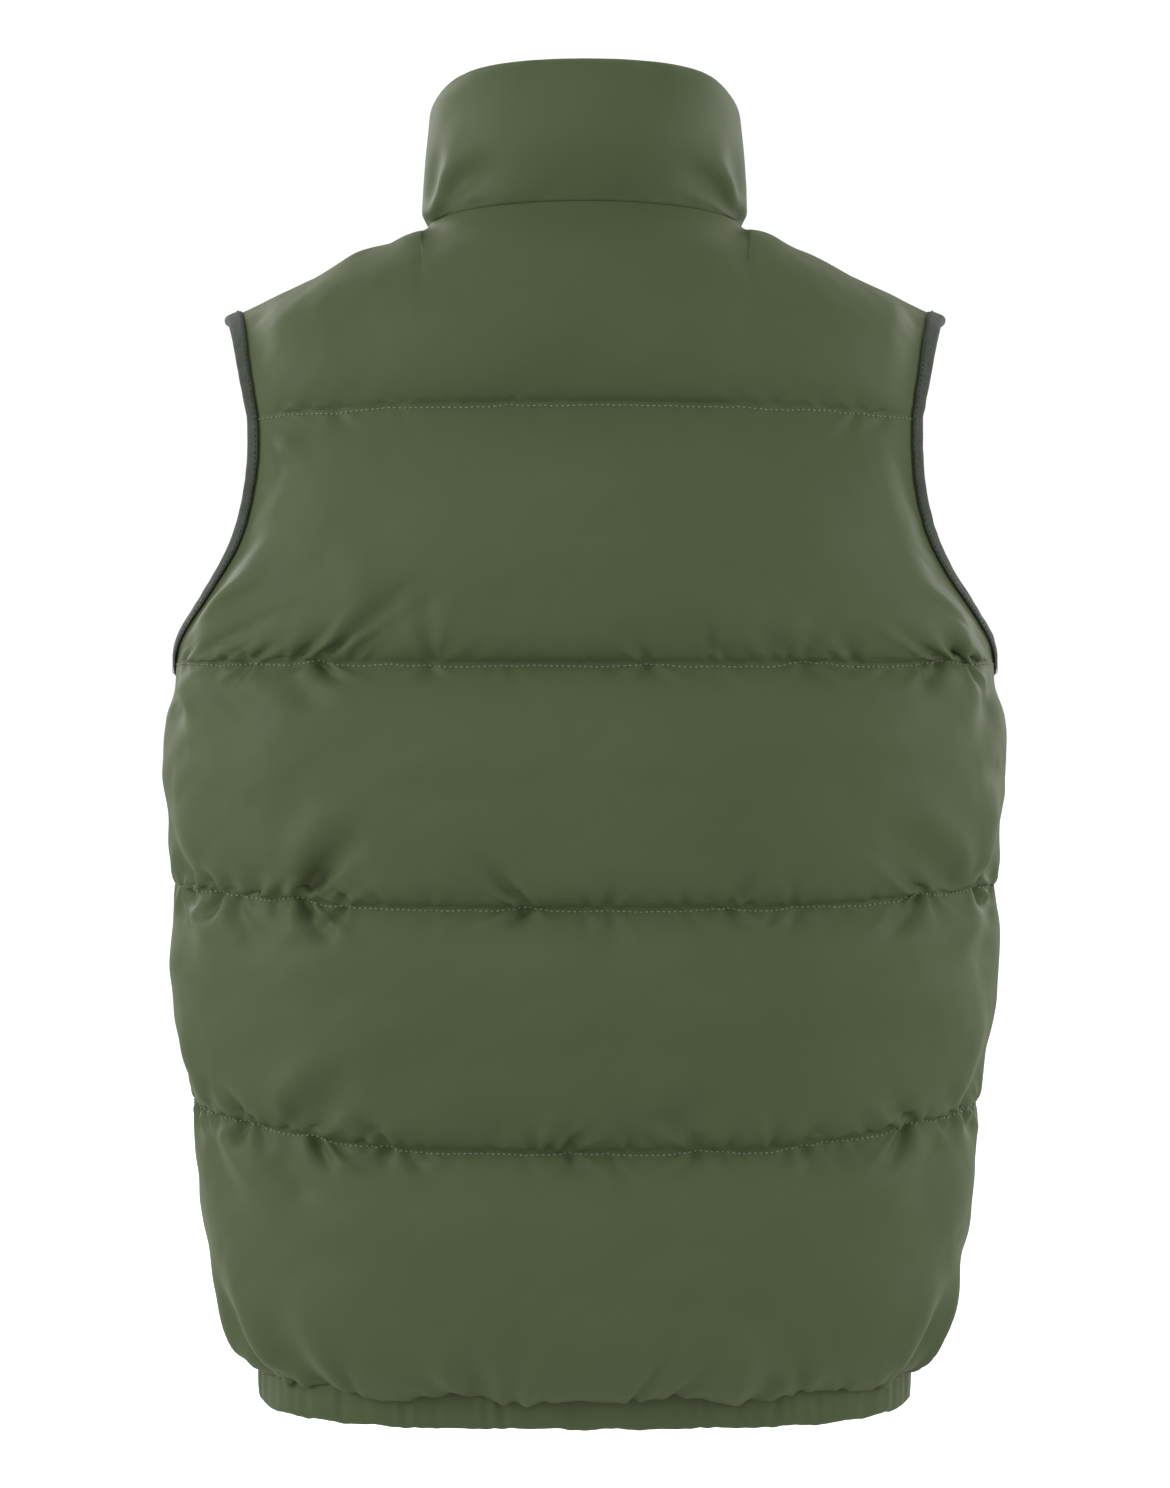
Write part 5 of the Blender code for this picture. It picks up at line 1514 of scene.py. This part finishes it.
def metal_material():
    """Painted die-cast metal, worn a little brighter on its edges."""
    material, tree, shader = shader_tree("zip_metal_worn", Metallic=1.0)
    position = node(tree, "ShaderNodeTexCoord").outputs["Object"]
    geometry = node(tree, "ShaderNodeNewGeometry")
    worn = maths(tree, "MULTIPLY", maths(tree, "SUBTRACT", geometry.outputs["Pointiness"], 0.5), 4.0)
    speck = noise(tree, position, 900.0, 4.0)
    edge = maths(tree, "ADD", worn, maths(tree, "MULTIPLY", speck, 0.5))
    coloured(tree, shader, edge, (0.085, 0.088, 0.080), (0.30, 0.30, 0.27), (0.30, 0.95))
    roughened(tree, shader, speck, 0.25, 0.24)
    bump(tree, shader, speck, 0.08, 0.0001)
    return material


def thread_material():
    """Twisted sewing thread, lighter than the shell."""
    material, tree, shader = shader_tree(
        "thread", Roughness=0.55, Sheen_Weight=0.3, Sheen_Roughness=0.4, Specular_IOR_Level=0.4
    )
    position = node(tree, "ShaderNodeTexCoord").outputs["Object"]
    twist = noise(tree, position, 1500.0, 2.0)
    coloured(tree, shader, twist, (0.150, 0.175, 0.105), (0.240, 0.265, 0.170), (0.3, 0.7))
    bump(tree, shader, twist, 0.3, 0.0001)
    return material


def use(obj, material):
    obj.data.materials.append(material)
    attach(obj, "garment")


# ---------------------------------------------------------------- building
shell, binding_cloth, tape_cloth = shell_material(), binding_material(), tape_material()
teeth_plastic, metal, thread = teeth_material(), metal_material(), thread_material()

panels = {}
for name, side, hands, seed in (
    ("back", "back", ("right", "left"), 101),
    ("front_left", "front", ("left",), 303),
    ("front_right", "front", ("right",), 404),
):
    obj, grid, normals = padded_panel(f"{name}_padded", side, hands, seed)
    use(obj, shell)
    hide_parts(name)
    panels[name] = (grid, normals)

collar, collar_outer, collar_normals = build_collar()
subdivide(collar)
use(collar, shell)
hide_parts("collar")

band = build_hem_band()
use(band, shell)
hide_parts("hem_band")

bindings = build_bindings()
for (obj, _), hand in zip(bindings, ("left", "right")):
    use(obj, binding_cloth)
    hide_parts(f"binding_{hand}")

zips = build_zip()
for (tape, teeth), hand in zip(zips, ("left", "right")):
    use(tape, tape_cloth)
    use(teeth, teeth_plastic)
    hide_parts(f"zip_tape_{hand}")

for name in ("zip_slider", "zip_pull", "zip_stop_left", "zip_stop_right", "zip_box"):
    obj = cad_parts[name]
    for slot in obj.material_slots:
        slot.material = metal


# ---------------------------------------------------------------- stitching
def seam_stitches():
    """A line of stitches just under each quilting seam, on the panels' own surface."""
    lines = []
    for grid, normals in panels.values():
        for seam in range(1, int(TOP)):
            row = seam * CHANNEL_ROWS * FINE_ROWS
            line, out = [], []
            for column in range(4, grid.shape[1] - 4):
                part, turned = grid[row : row - 8 : -1, column], normals[row : row - 8 : -1, column]
                along = lengths_along(part)
                line.append(interp_rows(STITCHES_BELOW, along, part))
                out.append(interp_rows(STITCHES_BELOW, along, turned))
            lines.append((np.array(line) + unit(np.array(out)) * 0.0001, unit(np.array(out))))
    return lines


TOPSTITCH = 0.0052  # in from the zip edge


def edge_stitches():
    """Topstitching beside the zip on both fronts and the collar."""
    lines = []
    for name in ("front_left", "front_right"):
        grid, normals = panels[name]
        line, out = [], []
        for row, places in zip(grid[::3], normals[::3]):
            x = np.abs(row[:40, 0])
            line.append(interp_rows(CENTRE_EDGE + TOPSTITCH, x, row[:40]))
            out.append(interp_rows(CENTRE_EDGE + TOPSTITCH, x, places[:40]))
        lines.append((np.array(line), np.array(out)))
    for columns in (slice(None), slice(None, None, -1)):
        grid = collar_outer[:, columns]
        out = collar_normals[:, columns][:, 2]
        along = np.array([lengths_along(row[:6]) for row in grid])
        line = np.array([interp_rows(TOPSTITCH, a, row[:6]) for a, row in zip(along, grid)])
        lines.append((line + out * 0.0001, out))
    return lines


seams = strokes("quilting_stitches", seam_stitches(), 0.0020, 0.0011, 0.00085)
edges = strokes("zip_topstitches", edge_stitches(), 0.0024, 0.0010, 0.00050)
for obj in (seams, edges):
    use(obj, thread)

binding_lines = []
for obj, line in bindings:
    ring = np.concatenate([line, line[:1]])
    x, y = ring[:, 0], ring[:, 1]
    outward = np.sign(x) * np.maximum(0.2, 1 - np.abs(y) / 0.09)
    normals = np.stack([outward, y / 0.06, np.full(len(ring), 0.1)], axis=1)
    binding_lines.append((ring, unit(normals)))
binding_thread = strokes("binding_stitches", binding_lines, 0.0022, 0.0010, 0.00048)
use(binding_thread, binding_cloth)

# ---------------------------------------------------------------- camera, light and floor
PHOTO_HEIGHT = 1488
FOCAL_PIXELS = 3276
camera_data = bpy.data.cameras.new("camera")
camera_data.sensor_width = 36
camera_data.lens = FOCAL_PIXELS / PHOTO_HEIGHT * camera_data.sensor_width
camera = bpy.data.objects.new("camera", camera_data)
camera.location = (0, 1.9, -0.225)
camera.rotation_euler = (math.radians(90 - 2.34), 0, math.pi)
bpy.context.scene.collection.objects.link(camera)
bpy.context.scene.camera = camera
bpy.context.scene.view_settings.view_transform = "Standard"



def camera_mix(tree, unseen, seen, output):
    """Shows the camera one shader, and every other ray a duller one."""
    mix = tree.nodes.new("ShaderNodeMixShader")
    path = tree.nodes.new("ShaderNodeLightPath")
    tree.links.new(path.outputs["Is Camera Ray"], mix.inputs[0])
    tree.links.new(unseen.outputs[0], mix.inputs[1])
    tree.links.new(seen.outputs[0], mix.inputs[2])
    tree.links.new(mix.outputs[0], tree.nodes[output].inputs[0])


FLOOR_HEIGHT = -1.02
FLOOR_RADIUS = 14.0
bm = bmesh.new()
bmesh.ops.create_circle(bm, cap_ends=True, segments=96, radius=FLOOR_RADIUS)
floor_mesh = bpy.data.meshes.new("floor")
bm.to_mesh(floor_mesh)
bm.free()
floor = bpy.data.objects.new("floor", floor_mesh)
floor.location.z = FLOOR_HEIGHT
bpy.context.scene.collection.objects.link(floor)
paint, paint_tree, paint_shader = shader_tree("pale_floor", Roughness=0.9, Specular_IOR_Level=0.1)
speckle = noise(paint_tree, node(paint_tree, "ShaderNodeTexCoord").outputs["Object"], 3.0)
coloured(paint_tree, paint_shader, speckle, (0.93, 0.93, 0.93), (0.96, 0.96, 0.96))
paint_shader.inputs["Emission Color"].default_value = (1, 1, 1, 1)
paint_shader.inputs["Emission Strength"].default_value = 0.70
dull_floor = node(paint_tree, "ShaderNodeBsdfDiffuse", Color=(0.72, 0.72, 0.72, 1))
camera_mix(paint_tree, dull_floor, paint_shader, "Material Output")
floor_mesh.materials.append(paint)

world = bpy.data.worlds.new("studio")
world.use_nodes = True
background = world.node_tree.nodes["Background"]
shown = world.node_tree.nodes.new("ShaderNodeBackground")
for sky, strength in ((background, 0.56), (shown, 1.05)):
    sky.inputs["Color"].default_value = (1, 1, 1, 1)
    sky.inputs["Strength"].default_value = strength
camera_mix(world.node_tree, background, shown, "World Output")
bpy.context.scene.world = world


def soft_box(name, place, target, size, power):
    light = bpy.data.lights.new(name, "AREA")
    light.shape = "RECTANGLE"
    light.size, light.size_y = size
    light.energy = power
    obj = bpy.data.objects.new(name, light)
    obj.location = place
    obj.rotation_euler = (Vector(target) - Vector(place)).to_track_quat("-Z", "Y").to_euler()
    bpy.context.scene.collection.objects.link(obj)


MIDDLE = (0, 0, -0.3)
soft_box("left_box", (2.9, 1.0, 0.6), MIDDLE, (1.3, 1.8), 42)
soft_box("right_box", (-3.0, 1.0, 0.4), MIDDLE, (1.3, 1.8), 30)
soft_box("back_box", (0.5, 3.2, 1.2), MIDDLE, (1.6, 1.6), 17)
soft_box("front_left_box", (2.0, -2.2, 0.8), MIDDLE, (1.6, 2.0), 34)
soft_box("front_right_box", (-2.2, -1.9, 0.5), MIDDLE, (1.6, 2.0), 24)
